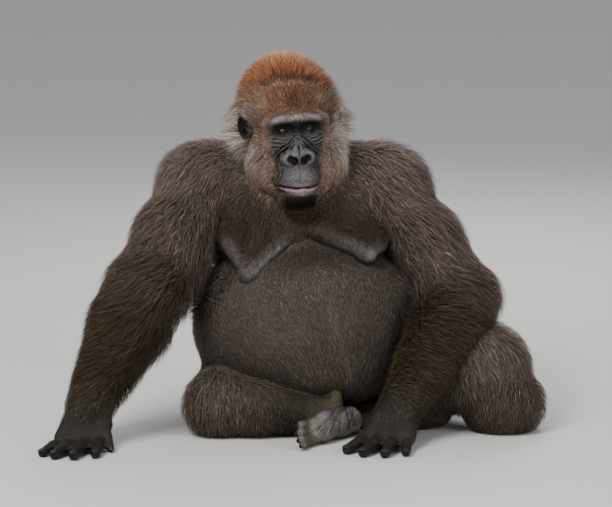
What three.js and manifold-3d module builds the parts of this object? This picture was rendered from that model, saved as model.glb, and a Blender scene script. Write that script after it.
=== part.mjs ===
// A seated adult female western lowland gorilla, life size, as a still museum model.
// Millimetres, +Z up. The animal faces -Y, its left side is +X, and it sits on the floor at z = 0.
// The body is one smooth field of simple forms, and each node is a shell cast onto that field. Where
// the coat is long, the shell is a core at half the coat's depth, with locks of hair out to its tips.
import * as THREE from 'three';
import { mergeVertices } from 'three/addons/utils/BufferGeometryUtils.js';
import Module from 'manifold-3d';

const wasm = await Module();
wasm.setup();

const at = (x, y, z) => new THREE.Vector3(x, y, z);
const degrees = THREE.MathUtils.degToRad;
const between = (a, b, t) => a.clone().lerp(b, t);

// ---------------------------------------------------------------- driving dimensions

const GAP = 0.3; // kept between nodes that touch
const SWELL = 0.45; // how much a node is swollen before it is cut out of its neighbour

// Spine and limb joints of the pose.
const PELVIS = at(55, 20, 118);
const CHEST = at(-8, 10, 425);
const NECK = at(-22, 35, 545);
const HIP = { right: at(-110, -8, 106), left: at(150, -20, 108) };
const KNEE = { right: at(-186, -250, 66), left: at(403, -198, 142) };
const ANKLE = { right: at(50, -262, 46), left: at(260, -204, 50) };
const SHOULDER = { right: at(-230, 28, 512), left: at(186, 30, 502) };
const ELBOW = { right: at(-338, -228, 316), left: at(352, -170, 292) };
const WRIST = { right: at(-456, -345, 88), left: at(212, -318, 78) };
const KNUCKLES = { right: at(-474, -404, 24), left: at(184, -386, 24) };

// Radii of flesh where the two sides of the pose differ.
const SHOULDER_RADIUS = { right: 80, left: 86 };
const ELBOW_RADIUS = { right: 73, left: 60 };
const HIP_RADIUS = { right: 98, left: 98 };
const KNEE_RADIUS = { right: 62, left: 90 };
const FOREARM_RADIUS = { right: 69, left: 62 };
const WRIST_RADIUS = { right: 46, left: 42 };

// Depth of the coat over the skin.
const COAT = {
  back: 30, belly: 8, neck: 22, crown: 22, ruff: 34, breast: 3,
  upperArm: 26, forearm: 26, wrist: 13, hand: 4, thigh: 16, ankle: 6, foot: 1,
};

// Head: its own frame has the point between the eyes as origin, -Y forwards and +Z to the crown.
const EYES_MIDDLE = at(-13, -150, 656);
const HEAD_TURN = new THREE.Euler(degrees(-5), degrees(-4), degrees(8), 'ZXY');
const EYE_SPACING = 59;
const EYE_RADIUS = 12.5;
const EYE_DEPTH = 13; // of the eyeball's centre behind the plane of the eyes
const MOUTH_HALF_WIDTH = 50;
const MOUTH_HEIGHT = -124;
const MOUTH_LIFT = 7.5; // the corners above the middle
const MOUTH_SLANT = 0.05; // how steeply the whole mouth falls towards the animal's left
const MOUTH_RISE = 4; // of the parted lips over their line, at the middle
const MOUTH_DROP = 2;
const EAR_PLACE = at(95, 92, 14); // mirrored for the right ear
const EAR_HEIGHT = 60;

// No face is symmetric: how far the crown, nose and mouth lie from the eyes' middle line, along X.
const CROWN_SHIFT = -6;
const NOSE_SHIFT = -6;
const MOUTH_SHIFT = -8;

const BREAST_RADIUS = 25;
const BREAST_TIP = 13;

// Digits: their free length and their radius at the root.
const FINGERS = [
  { name: 'index', length: 84, radius: 14, spread: 14 },
  { name: 'middle', length: 92, radius: 14.5, spread: 4 },
  { name: 'ring', length: 86, radius: 14, spread: -7 },
  { name: 'little', length: 68, radius: 12.5, spread: -18 },
];
const THUMB = { length: 56, radius: 10.5 };
const FOOT_LENGTH = 170; // from the heel to the toes' roots
const TOES = [ // inward is the place across the ball of the foot
  { name: 'second', inward: 22, length: 52, radius: 10 },
  { name: 'third', inward: 5, length: 54, radius: 10 },
  { name: 'fourth', inward: -11, length: 50, radius: 9.5 },
  { name: 'fifth', inward: -24, length: 42, radius: 9 },
];
const BIG_TOE_RADIUS = 16;

// ---------------------------------------------------------------- the field of forms

// A form tells how far a point is outside it. blend is the width over which it runs into the rest.
function ball(centre, [rx, ry, rz], blend, frame = null) {
  return { centre, radii: at(rx, ry, rz), blend, frame };
}

function limb(from, to, fromRadius, toRadius, blend, frame = null) {
  return { from, to, fromRadius, toRadius, along: to.clone().sub(from), blend, frame };
}

const scratch = at(0, 0, 0);

function outside(form, point) {
  const p = scratch.copy(point);
  if (form.frame) p.applyMatrix4(form.frame);
  if (form.centre) {
    p.sub(form.centre).divide(form.radii);
    const stretch = p.length();
    const slope = p.divide(form.radii).length();
    return slope < 1e-9 ? -Math.min(...form.radii) : (stretch * (stretch - 1)) / slope;
  }
  p.sub(form.from);
  const t = THREE.MathUtils.clamp(p.dot(form.along) / form.along.lengthSq(), 0, 1);
  const radius = THREE.MathUtils.lerp(form.fromRadius, form.toRadius, t);
  return p.addScaledVector(form.along, -t).length() - radius;
}

function smoothUnion(a, b, width) {
  const h = THREE.MathUtils.clamp(0.5 + (0.5 * (a - b)) / width, 0, 1);
  return THREE.MathUtils.lerp(a, b, h) - width * h * (1 - h);
}

const smoothCut = (a, b, width) => -smoothUnion(-a, b, width);

function fieldOf(forms, hollows = []) {
  return (point) => {
    let distance = outside(forms[0], point);
    for (const form of forms.slice(1)) {
      distance = smoothUnion(distance, outside(form, point), form.blend);
    }
    for (const hollow of hollows) distance = smoothCut(distance, outside(hollow, point), hollow.blend);
    return distance;
  };
}

// ---------------------------------------------------------------- forms of the body

const headFrame = new THREE.Matrix4().makeRotationFromEuler(HEAD_TURN).setPosition(EYES_MIDDLE);
const intoHead = headFrame.clone().invert();
const headBall = (x, y, z, radii, blend) => ball(at(x, y, z), radii, blend, intoHead);
const headLimb = (from, to, r0, r1, blend) => limb(from, to, r0, r1, blend, intoHead);
const pair = (make) => [make(-1), make(1)];

const torso = {
  pelvis: ball(PELVIS, [185, 150, 112], 40),
  belly: ball(at(3, -85, 212), [245, 205, 185], 60),
  stomach: ball(at(50, -80, 265), [185, 185, 135], 50),
  groin: ball(at(60, -140, 138), [140, 120, 84], 50),
  waist: ball(at(25, 20, 270), [185, 140, 150], 60),
  ribs: ball(CHEST, [200, 150, 150], 60),
  upperBack: ball(at(-15, 75, 440), [165, 105, 150], 60),
  shoulderGirdle: limb(at(-185, 38, 530), at(145, 38, 522), 66, 66, 50),
};
const torsoForms = Object.values(torso);

const neckForms = [
  limb(NECK, at(-24, 5, 610), 92, 82, 30), // throat
  limb(at(-22, 62, 520), at(-26, 18, 615), 88, 80, 30), // nape
];

const skull = {
  braincase: headBall(CROWN_SHIFT, 92, 50, [82, 100, 82], 20),
  crest: headBall(CROWN_SHIFT, 118, 96, [70, 76, 58], 40),
  forehead: headBall(0, 36, 46, [62, 36, 30], 20),
  rear: headBall(CROWN_SHIFT, 146, 0, [112, 60, 82], 26),
  midface: headBall(0, 26, -45, [60, 46, 62], 24),
  noseBridge: headLimb(at(0, 4, 2), at(NOSE_SHIFT, -24, -46), 10, 15, 14),
  muzzle: headBall(MOUTH_SHIFT, -8, -100, [50, 40, 46], 24),
  upperLip: headBall(MOUTH_SHIFT, -24, -106, [42, 25, 22], 18),
  lowerLip: headBall(MOUTH_SHIFT, -12, -142, [38, 30, 20], 16),
  chin: headBall(MOUTH_SHIFT, 14, -150, [40, 38, 26], 24),
  noseTip: headBall(NOSE_SHIFT, -40, -55, [11, 9, 13], 8),
  throat: headBall(0, 60, -115, [62, 60, 50], 24),
};
const skullPairs = {
  orbitRims: pair((s) => headBall(s * 58, 14, 4, [13, 16, 24], 14)),
  cheekbones: pair((s) => headBall(s * 46, 14, -30, [25, 22, 18], 16)),
  nostrilWings: pair((s) => headBall(NOSE_SHIFT + s * 20, -35, -59, [17, 12, 16], 8)),
  jowls: pair((s) => headBall(s * 58, 64, -60, [36, 50, 62], 24)),
};
const headForms = [...Object.values(skull), ...Object.values(skullPairs).flat()];

const eyeSockets = pair((s) => headBall((s * EYE_SPACING) / 2, -9, 2, [21, 15, 12], 8));

function armForms(side) {
  const shoulder = SHOULDER[side];
  const elbow = ELBOW[side];
  const wrist = WRIST[side];
  const belly = between(elbow, wrist, 0.3);
  return {
    upper: [
      ball(shoulder, [SHOULDER_RADIUS[side], SHOULDER_RADIUS[side], SHOULDER_RADIUS[side]], 40),
      limb(shoulder, elbow, 68, ELBOW_RADIUS[side] - 4, 24),
      ball(between(shoulder, elbow, 0.5), [70, 70, 70], 30),
    ],
    lower: [
      limb(elbow, belly, ELBOW_RADIUS[side], FOREARM_RADIUS[side], 24),
      limb(belly, wrist, FOREARM_RADIUS[side], WRIST_RADIUS[side], 24),
    ],
  };
}

const arms = { right: armForms('right'), left: armForms('left') };

const legs = {
  right: {
    upper: [limb(HIP.right, KNEE.right, HIP_RADIUS.right, KNEE_RADIUS.right, 30)],
    lower: [
      limb(KNEE.right, between(KNEE.right, ANKLE.right, 0.35), 64, 58, 20),
      limb(between(KNEE.right, ANKLE.right, 0.35), ANKLE.right, 58, 36, 20),
    ],
  },
  left: {
    upper: [limb(HIP.left, KNEE.left, HIP_RADIUS.left, KNEE_RADIUS.left, 40)],
    lower: [
      ball(at(437, -202, 60), [89, 80, 80], 30),
      limb(KNEE.left, ANKLE.left, 70, 38, 30),
    ],
  },
};

// A breast is a flat fold of skin that runs from its outer, inner and middle roots to the nipple.
function breastForms(outer, inner, nipple) {
  const middle = between(outer, inner, 0.5).add(at(0, 8, 6));
  return [outer, inner, middle].map((root) => limb(root, nipple, BREAST_RADIUS, BREAST_TIP, 20));
}

const breasts = {
  right: breastForms(at(-166, -108, 411), at(-42, -142, 421), at(-118, -193, 344)),
  left: breastForms(at(46, -142, 429), at(166, -104, 402), at(141, -182, 388)),
};

const torsoField = fieldOf(torsoForms);

// ---------------------------------------------------------------- shells and solids

// The closed surface of a three.js geometry as a solid that can be cut and joined.
function solidOf(geometry) {
  const bare = geometry.clone();
  bare.deleteAttribute('normal');
  bare.deleteAttribute('uv');
  const merged = mergeVertices(bare, 1e-4);
  return new wasm.Manifold(new wasm.Mesh({
    numProp: 3,
    vertProperties: new Float32Array(merged.attributes.position.array),
    triVerts: new Uint32Array(merged.index.array),
  }));
}

function geometryOf(solid) {
  const { numProp, vertProperties, triVerts } = solid.getMesh();
  const positions = new Float32Array((vertProperties.length / numProp) * 3);
  for (let i = 0; i < positions.length / 3; i += 1) {
    for (let axis = 0; axis < 3; axis += 1) positions[3 * i + axis] = vertProperties[numProp * i + axis];
  }
  const geometry = new THREE.BufferGeometry();
  geometry.setAttribute('position', new THREE.BufferAttribute(positions, 3));
  geometry.setIndex([...triVerts]);
  geometry.computeVertexNormals();
  return geometry;
}

const biggest = (pieces) => pieces.reduce((a, b) => (b.volume() > a.volume() ? b : a));

// The largest closed surface. Its vertices are rounded to GRID, so that those that all but coincide
// become one.
const GRID = 0.02;

function largest(solid) {
  const geometry = geometryOf(biggest(solid.decompose()));
  const values = geometry.attributes.position.array;
  values.forEach((value, i) => {
    values[i] = Math.round(value / GRID) * GRID;
  });
  return biggest(solidOf(geometry).decompose());
}

// Walks out from a point inside the field until it is `level` outside it, or has gone `reach`.
const COARSE_STEP = 5;
const FINE_STEPS = 14;

function surfaceAlong(start, direction, field, level, reach) {
  const place = at(0, 0, 0);
  const height = (distance) => {
    place.copy(start).addScaledVector(direction, distance);
    return field(place) - level(place);
  };
  let near = 0;
  let far = COARSE_STEP;
  while (far < reach && height(far) < 0) {
    near = far;
    far += COARSE_STEP;
  }
  if (far >= reach) return reach;
  for (let i = 0; i < FINE_STEPS; i += 1) {
    const middle = (near + far) / 2;
    if (height(middle) < 0) near = middle;
    else far = middle;
  }
  return (near + far) / 2;
}

// A capsule round the line from `from` to `to`, whose every vertex is pushed out to the field.
function castCapsule({ from, to, field, level, reach, around, along, caps }, extra) {
  const shell = new THREE.CapsuleGeometry(1, 1, caps, around, along);
  const turn = new THREE.Quaternion().setFromUnitVectors(
    at(0, 1, 0), to.clone().sub(from).normalize(),
  );
  return castShell(shell, (vertex) => {
    const height = THREE.MathUtils.clamp(vertex.y, -0.5, 0.5);
    const direction = at(vertex.x, vertex.y - height, vertex.z).normalize().applyQuaternion(turn);
    return [between(from, to, height + 0.5), direction];
  }, field, (p) => level(p) + extra, reach + extra);
}

function castShell(shell, rayOf, field, level, reach) {
  const bare = shell.clone();
  bare.deleteAttribute('normal');
  bare.deleteAttribute('uv');
  const geometry = mergeVertices(bare, 1e-5);
  const positions = geometry.attributes.position;
  const vertex = at(0, 0, 0);
  for (let i = 0; i < positions.count; i += 1) {
    const [start, direction] = rayOf(vertex.fromBufferAttribute(positions, i));
    const distance = surfaceAlong(start, direction, field, level, reach);
    positions.setXYZ(i, ...start.addScaledVector(direction, distance));
  }
  return solidOf(geometry);
}

// A tube of changing width along a curve, with rounded ends.
function tube(points, radiusAt, { sides = 6, rings = 6, caps = 2, flat = 1, up = at(0, 0, 1) }) {
  const curve = new THREE.CatmullRomCurve3(points);
  const shell = new THREE.CapsuleGeometry(1, 1, caps, sides, rings);
  shell.deleteAttribute('normal');
  shell.deleteAttribute('uv');
  const geometry = mergeVertices(shell, 1e-5);
  const positions = geometry.attributes.position;
  for (let i = 0; i < positions.count; i += 1) {
    const vertex = at(0, 0, 0).fromBufferAttribute(positions, i);
    const height = THREE.MathUtils.clamp(vertex.y, -0.5, 0.5);
    const t = height + 0.5;
    const ahead = curve.getTangent(t);
    const side = up.clone().cross(ahead).normalize();
    const over = ahead.clone().cross(side);
    const radius = radiusAt(t);
    const place = curve.getPoint(t)
      .addScaledVector(ahead, (vertex.y - height) * radius)
      .addScaledVector(side, -vertex.x * radius)
      .addScaledVector(over, vertex.z * radius * flat);
    positions.setXYZ(i, ...place);
  }
  return solidOf(geometry);
}

// ---------------------------------------------------------------- locks of hair

// A lock is a flat three-sided blade. Its root is sunk in the coat's core, it bends over at once and
// runs on along the lie of the coat, and its tip reaches the coat's full depth.
const CORE = 0.5; // how much of the coat's depth the core takes
const LOCK_SUNK = 10; // of the root below the core's surface
const LOCK_FLAT = 4; // how much wider than thick
const LOCK_STATIONS = [ // share of the length, and how far out through the coat it is there
  { share: 0, lift: CORE }, { share: 0.2, lift: 0.8 }, { share: 0.6, lift: 0.92 }, { share: 1, lift: 0.92 },
];

function seeded(seed) {
  let state = seed;
  return () => {
    state = (state * 1664525 + 1013904223) % 4294967296;
    return state / 4294967296;
  };
}

// The point of a shell at `depth` through the coat, by its share along the axis and its turn round it.
function onShell({ from, to, field, level, reach, facing }, along, turn, lift) {
  const axis = to.clone().sub(from);
  const ahead = axis.clone().normalize();
  const direction = facing.clone().addScaledVector(ahead, -facing.dot(ahead)).normalize()
    .applyAxisAngle(ahead, turn);
  const start = from.clone().addScaledVector(axis, along);
  const distance = surfaceAlong(start, direction, field, (p) => level(p) * lift, reach);
  return { place: start.addScaledVector(direction, distance), direction };
}

function lockOn(shell, { along, turn, length, swirl, thick, reachOut }, extra) {
  const share = length / shell.to.distanceTo(shell.from);
  const stations = LOCK_STATIONS.map((station) => onShell(
    shell, along + share * station.share, turn + swirl * station.share, station.lift * reachOut,
  ));
  const root = stations[0];
  root.place.addScaledVector(root.direction, -LOCK_SUNK);
  const run = stations[3].place.clone().sub(root.place).normalize();
  return tube(stations.map(({ place }) => place), (t) => thick * (1 - 0.8 * t ** 1.6) + extra, {
    sides: 3, rings: 2, caps: 1, flat: LOCK_FLAT, up: run.cross(root.direction).normalize(),
  });
}

// Rows of locks over a shell, between turns -spread and spread from the way it faces.
function locksOn(shell, { rows, each, spread, length, swirl = 0, thick, seed }, extra) {
  const random = seeded(seed);
  const vary = (share) => 1 + share * (2 * random() - 1);
  return rows.flatMap((along, row) => Array.from({ length: each }, (_, i) => {
    const place = (i + (row % 2 ? 0.75 : 0.25)) / each;
    const lock = {
      along: along + 0.04 * (random() - 0.5),
      turn: spread * (2 * place - 1) * vary(0.08),
      length: length * vary(0.2),
      swirl: swirl * vary(0.4) + 0.1 * (random() - 0.5),
      thick: thick * vary(0.2),
      reachOut: 0.95 * vary(0.08),
    };
    return lockOn(shell, lock, extra);
  }));
}

// A shell's core with its locks, as one solid.
function coated(shell, lockRows, extra) {
  const core = castCapsule({ ...shell, level: (p) => CORE * shell.level(p) }, extra);
  return lockRows.flatMap((rows) => locksOn(shell, rows, extra))
    .reduce((solid, lock) => solid.add(lock), core);
}

// A box so large that one of its faces serves as a cutting plane.
const FAR = 3000;

function beyondPlane(point, normal, shift) {
  const box = new THREE.BoxGeometry(FAR, FAR, FAR);
  box.translate(0, 0, FAR / 2);
  box.applyQuaternion(new THREE.Quaternion().setFromUnitVectors(at(0, 0, 1), normal));
  box.translate(...point.clone().addScaledVector(normal, shift));
  return solidOf(box);
}

const underFloor = beyondPlane(at(0, 0, 0), at(0, 0, -1), 0);

// A joint's plane: the first node keeps the side the normal points away from.
const plane = (point, normal) => ({ point, normal: normal.clone().normalize() });

function bentPlane(from, joint, to) {
  const before = joint.clone().sub(from).normalize();
  const after = to.clone().sub(joint).normalize();
  return plane(joint, before.add(after));
}

const behind = (cut) => ({ ...cut, facing: 1 });
const ahead = (cut) => ({ ...cut, facing: -1 });

function trimmed(solid, cuts, slack) {
  let kept = solid.subtract(underFloor);
  for (const { point, normal, facing } of cuts) {
    const away = normal.clone().multiplyScalar(facing);
    kept = kept.subtract(beyondPlane(point, away, slack));
  }
  return largest(kept);
}

// ---------------------------------------------------------------- the nodes

const nodes = new Map();

// Adds a node: `make(extra)` gives its shell swollen by extra, `cuts` are the planes it ends at, and
// it is cut clear of every node already there that it doesn't meet at one of those planes.
function addNode(name, finish, make, cuts = [], meets = []) {
  let solid = trimmed(make(0), cuts, -GAP / 2);
  for (const [other, { grown }] of nodes) {
    if (!meets.includes(other) && !solid.intersect(grown).isEmpty()) solid = solid.subtract(grown);
  }
  nodes.set(name, { solid: largest(solid), grown: trimmed(make(SWELL), cuts, GAP / 2), finish });
}

const FINISH = {
  coat: { color: 0x2e2623, roughness: 0.9 },
  crown: { color: 0x5a3a28, roughness: 0.9 },
  skin: { color: 0x2b2a2b, roughness: 0.6 },
  eye: { color: 0x2a1608, roughness: 0.15 },
  tongue: { color: 0xb06a6a, roughness: 0.4 },
};

const smoothstep = (value, low, high) => THREE.MathUtils.smoothstep(value, low, high);

// Torso, parted into chest, belly and hips.
const torsoCoat = (p) => THREE.MathUtils.lerp(COAT.belly, COAT.back, smoothstep(p.y, -90, 90));
const torsoShell = {
  from: at(45, -35, 150), to: at(-15, 20, 470), field: torsoField, level: torsoCoat,
  reach: 330, around: 26, along: 8, caps: 5, facing: at(0, 1, 0),
};
const backLocks = {
  rows: [1.08, 0.76, 0.44, 0.12], each: 4, spread: 1.15, length: -165, thick: 10, seed: 3,
};
const castTorso = (extra) => coated(torsoShell, [backLocks], extra);
const underChest = plane(at(0, -60, 398), at(0, 0.1, 1));
const frontOfHips = plane(at(0, 0, 150), at(0, -0.6, 0.8));

addNode('torso_belly', 'coat', castTorso, [behind(underChest), ahead(frontOfHips)]);
addNode('torso_chest', 'coat', castTorso, [ahead(underChest)], ['torso_belly']);
addNode('hips', 'coat', castTorso, [behind(underChest), behind(frontOfHips)],
  ['torso_belly', 'torso_chest']);

// Head, jaw and neck.
const underHead = plane(at(-20, -40, 552), at(0, -0.75, 0.66));
const headField = fieldOf([...headForms, ...neckForms], eyeSockets);
const neckField = fieldOf([...neckForms, ...torsoForms, ...headForms]);

function headCoat(point) {
  const p = point.clone().applyMatrix4(intoHead);
  const fromFace = Math.hypot(p.x / 62, (p.z + 62) / 96);
  const face = smoothstep(fromFace, 0.8, 1.5);
  const rear = smoothstep(p.y, 10, 70);
  const ear = smoothstep(Math.hypot(p.y - EAR_PLACE.y, p.z - EAR_PLACE.z), 20, 45);
  const ruff = smoothstep(Math.abs(p.x - CROWN_SHIFT), 50, 90) * smoothstep(p.y, 20, 80);
  const depth = THREE.MathUtils.lerp(COAT.crown, COAT.ruff, ruff);
  return depth * Math.max(face, rear) * THREE.MathUtils.lerp(0.4, 1, ear);
}

// Rays are drawn together towards the face, where the detail is.
function headRay(vertex) {
  const fromFace = Math.acos(THREE.MathUtils.clamp(-vertex.y, -1, 1));
  const drawn = fromFace ** 1.5 / Math.PI ** 0.5;
  const sideways = at(vertex.x, 0, vertex.z).normalize().multiplyScalar(Math.sin(drawn));
  const direction = at(sideways.x, -Math.cos(drawn), sideways.z);
  return [at(0, 62, -16).applyMatrix4(headFrame), direction.transformDirection(headFrame)];
}

const HEAD_DETAIL = 8;
const castHead = (extra) => castShell(
  new THREE.IcosahedronGeometry(1, HEAD_DETAIL), headRay, headField, (p) => headCoat(p) + extra, 200,
);

// The height of the mouth's line in the head's frame, by the place across from its middle.
const mouthHeight = (x) => (
  MOUTH_HEIGHT + MOUTH_LIFT * (x / MOUTH_HALF_WIDTH) ** 2 - MOUTH_SLANT * x
);

function inHead(geometry) {
  return solidOf(geometry.applyMatrix4(headFrame));
}

// A closed outline in the head's x-z plane, extruded from front to back.
function headPrism(outline, front, back) {
  const geometry = new THREE.ExtrudeGeometry(new THREE.Shape(outline), {
    depth: back - front, bevelEnabled: false,
  });
  geometry.rotateX(Math.PI / 2).translate(0, back, 0);
  return inHead(geometry);
}

const MOUTH_STEPS = 12;
const acrossMouth = Array.from({ length: MOUTH_STEPS + 1 }, (_, i) => (
  MOUTH_HALF_WIDTH * ((2 * i) / MOUTH_STEPS - 1)
));

function jawPrism(slack) {
  const line = acrossMouth.map((x) => new THREE.Vector2(MOUTH_SHIFT + x, mouthHeight(x) + slack));
  const below = [[66, -128], [62, -215], [-62, -215], [-66, -128]];
  const sides = below.map(([x, z]) => (
    new THREE.Vector2(MOUTH_SHIFT + x + Math.sign(x) * slack, z + slack)
  ));
  return headPrism([...line, ...sides], -120, 18 + slack);
}

function mouthSlot(slack) {
  const rise = MOUTH_RISE - slack;
  const drop = MOUTH_DROP - slack;
  const lens = (x) => 1 - (x / MOUTH_HALF_WIDTH) ** 2;
  const onLine = (x, lift) => new THREE.Vector2(MOUTH_SHIFT + x, mouthHeight(x) + lift * lens(x));
  const upper = acrossMouth.map((x) => onLine(x, rise));
  const lower = acrossMouth.slice(1, -1).reverse().map((x) => onLine(x, -drop));
  return headPrism([...upper, ...lower], -120, -26);
}

function eyeball(side, extra) {
  const eye = new THREE.SphereGeometry(EYE_RADIUS + extra, 10, 7);
  return inHead(eye.translate((side * EYE_SPACING) / 2, EYE_DEPTH, 0));
}

// A lid is a roll of skin along an arc on the eyeball; lift is its height over the pupil.
function lid(side, lift, thickness) {
  const half = EYE_RADIUS + 3;
  const points = [-1, -0.5, 0, 0.5, 1].map((t) => {
    const rise = lift * (1 - t * t) + t * side * 1.2;
    const depth = EYE_DEPTH - Math.sqrt(Math.max(0, half * half - (t * half * 0.95) ** 2 - rise * rise));
    return at((side * EYE_SPACING) / 2 + t * half * 0.95, depth, rise).applyMatrix4(headFrame);
  });
  return tube(points, (t) => thickness * (0.6 + 0.4 * Math.sin(Math.PI * t)), {
    sides: 5, rings: 5, caps: 1,
  });
}

// The brow is one bar over both eyes.
function brow() {
  const points = [-58, -34, 0, 34, 58].map((x) => (
    at(x, 1 + (x * x) / 330, 29 - (x * x) / 420).applyMatrix4(headFrame)
  ));
  return tube(points, (t) => 11 + 4 * Math.sin(Math.PI * t), { sides: 8, rings: 9, caps: 2 });
}

function nostril(side) {
  const hole = new THREE.SphereGeometry(1, 8, 6).scale(10, 11, 7);
  hole.rotateY(degrees(-side * 20)).translate(NOSE_SHIFT + side * 14.5, -46, -61);
  return inHead(hole);
}

function headWithFeatures(extra) {
  let head = castHead(extra).add(brow());
  for (const side of [-1, 1]) {
    head = head.add(lid(side, 5, 4.2)).add(lid(side, -6, 3.6));
    head = head.subtract(eyeball(side, extra ? 0 : GAP));
    head = head.subtract(nostril(side));
  }
  return head;
}

addNode('head', 'crown', (extra) => headWithFeatures(extra).subtract(jawPrism(extra ? 0 : GAP))
  .subtract(mouthSlot(extra)), [ahead(underHead)]);
addNode('lower_jaw', 'skin', (extra) => castHead(extra).intersect(jawPrism(extra))
  .subtract(mouthSlot(extra)), [ahead(underHead)], ['head']);
const neckShell = {
  from: at(-22, 40, 520), to: at(-24, 0, 600), field: neckField, level: () => COAT.neck,
  reach: 150, around: 20, along: 3, caps: 3, facing: at(0, 1, 0),
};
const napeLocks = { rows: [0.7], each: 3, spread: 0.8, length: -100, thick: 8, seed: 5 };
addNode('neck', 'coat', (extra) => coated(neckShell, [napeLocks], extra), [behind(underHead)],
  ['head', 'lower_jaw']);

for (const [name, side] of [['right', -1], ['left', 1]]) {
  addNode(`eye_${name}`, 'eye', (extra) => eyeball(side, extra), [], ['head']);
}

addNode('tongue', 'tongue', () => inHead(
  new THREE.SphereGeometry(1, 10, 6).scale(12, 11, 4).translate(MOUTH_SHIFT + 5, -34, MOUTH_HEIGHT - 3),
));

// Ears: a flat shell hollowed to a cup.
for (const [name, side] of [['right', -1], ['left', 1]]) {
  const pose = new THREE.Euler(degrees(8), 0, degrees(side * 38), 'ZXY');
  const frame = new THREE.Matrix4().makeRotationFromEuler(pose);
  frame.setPosition(side * EAR_PLACE.x, EAR_PLACE.y, EAR_PLACE.z);
  const place = (geometry) => inHead(geometry.applyMatrix4(frame));
  addNode(`ear_${name}`, 'skin', (extra) => {
    const shell = new THREE.SphereGeometry(1, 10, 8)
      .scale(19 + extra, 9 + extra, EAR_HEIGHT / 2 + extra).translate(side * 8, 0, 0);
    const cup = new THREE.SphereGeometry(1, 8, 6).scale(12, 8, EAR_HEIGHT / 2 - 9)
      .translate(side * 11, -7, 1);
    return place(shell).subtract(place(cup));
  });
}

// Breasts hang on the chest.
for (const side of ['right', 'left']) {
  const [outer, inner, middle] = breasts[side];
  addNode(`breast_${side}`, 'skin', (extra) => castCapsule({
    from: middle.from, to: middle.to, field: fieldOf([middle, outer, inner]),
    level: () => COAT.breast, reach: 100, around: 16, along: 4, caps: 3,
  }, extra));
}

// Arms, parted at the elbow and the wrist.
function handForms(side) {
  const wrist = WRIST[side];
  const knuckles = KNUCKLES[side];
  const reachOut = knuckles.clone().sub(wrist);
  const toThumb = at(side === 'right' ? 1 : -1, side === 'right' ? 0.25 : 0.35, 0).normalize();
  const rays = [42, 14, -14, -40].map((offset, i) => ({
    knuckle: knuckles.clone().addScaledVector(toThumb, offset)
      .addScaledVector(reachOut, [0.0, 0.06, 0.02, -0.08][i]),
    offset,
  }));
  const forms = [
    ball(between(wrist, knuckles, 0.15), [36, 34, 32], 20),
    ...rays.map(({ knuckle, offset }) => limb(
      between(wrist, knuckles, 0.1).addScaledVector(toThumb, offset * 0.5), knuckle, 24, 19, 14,
    )),
    limb(between(wrist, knuckles, 0.2).addScaledVector(toThumb, 18),
      between(wrist, knuckles, 0.62).addScaledVector(toThumb, 44), 19, 15, 14),
  ];
  return { forms, rays, toThumb, reachOut };
}

const hands = { right: handForms('right'), left: handForms('left') };
const alongLimb = (from, to) => {
  const line = to.clone().sub(from);
  return (p) => THREE.MathUtils.clamp(p.clone().sub(from).dot(line) / line.lengthSq(), 0, 1);
};

for (const side of ['right', 'left']) {
  const [shoulder, elbow, wrist, knuckles] = [SHOULDER, ELBOW, WRIST, KNUCKLES].map((j) => j[side]);
  const { upper, lower } = arms[side];
  const atElbow = bentPlane(shoulder, elbow, wrist);
  const atWrist = bentPlane(elbow, wrist, knuckles);
  const upperField = fieldOf([...upper, ...lower, ...torsoForms]);
  const lowerField = fieldOf([...lower, ...upper, ...hands[side].forms]);
  const downForearm = alongLimb(elbow, wrist);
  const outward = side === 'right' ? -1 : 1;
  const upperArmLocks = {
    rows: [0, 0.33, 0.66], each: 3, spread: 1.5, length: 140, swirl: 0.25 * outward,
    thick: 9, seed: 11 + outward,
  };
  const forearmLocks = {
    rows: [0.12, 0.42, 0.7], each: 3, spread: 1.5, length: 120, swirl: -0.3 * outward,
    thick: 8, seed: 21 + outward,
  };

  const upperShell = {
    from: shoulder, to: elbow, field: upperField, level: () => COAT.upperArm,
    reach: 120, around: 17, along: 6, caps: 3, facing: at(outward, 0.2, 0.3),
  };
  const lowerShell = {
    from: elbow, to: wrist, field: lowerField,
    level: (p) => THREE.MathUtils.lerp(COAT.forearm, COAT.wrist, downForearm(p) ** 2),
    reach: 115, around: 16, along: 7, caps: 3, facing: at(outward, 0, 0),
  };
  addNode(`upper_arm_${side}`, 'coat', (extra) => coated(upperShell, [upperArmLocks], extra),
    [behind(atElbow)]);
  addNode(`forearm_${side}`, 'coat', (extra) => coated(lowerShell, [forearmLocks], extra),
    [ahead(atElbow), behind(atWrist)], [`upper_arm_${side}`]);
  addNode(`hand_${side}`, 'coat', (extra) => castCapsule({
    from: wrist, to: between(wrist, knuckles, 0.95),
    field: fieldOf([...hands[side].forms, ...lower]),
    level: (p) => THREE.MathUtils.lerp(COAT.wrist, COAT.hand, smoothstep(p.distanceTo(wrist), 20, 60)),
    reach: 75, around: 16, along: 5, caps: 2,
  }, extra), [ahead(atWrist)], [`forearm_${side}`]);
}

// Fingers lie on the floor ahead of the knuckles; the thumb is set back.
function digit(start, direction, length, radius, arch) {
  const flat = direction.clone().setZ(0).normalize();
  const tip = start.clone().addScaledVector(flat, length).setZ(radius * 0.72);
  const bend = between(start, tip, 0.5);
  bend.z += arch;
  const back = start.clone().addScaledVector(flat, -10);
  return (extra) => tube([back, start, bend, tip], (t) => radius * (1.08 - 0.3 * t) + extra, {
    sides: 6, rings: 3, caps: 1,
  });
}

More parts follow.
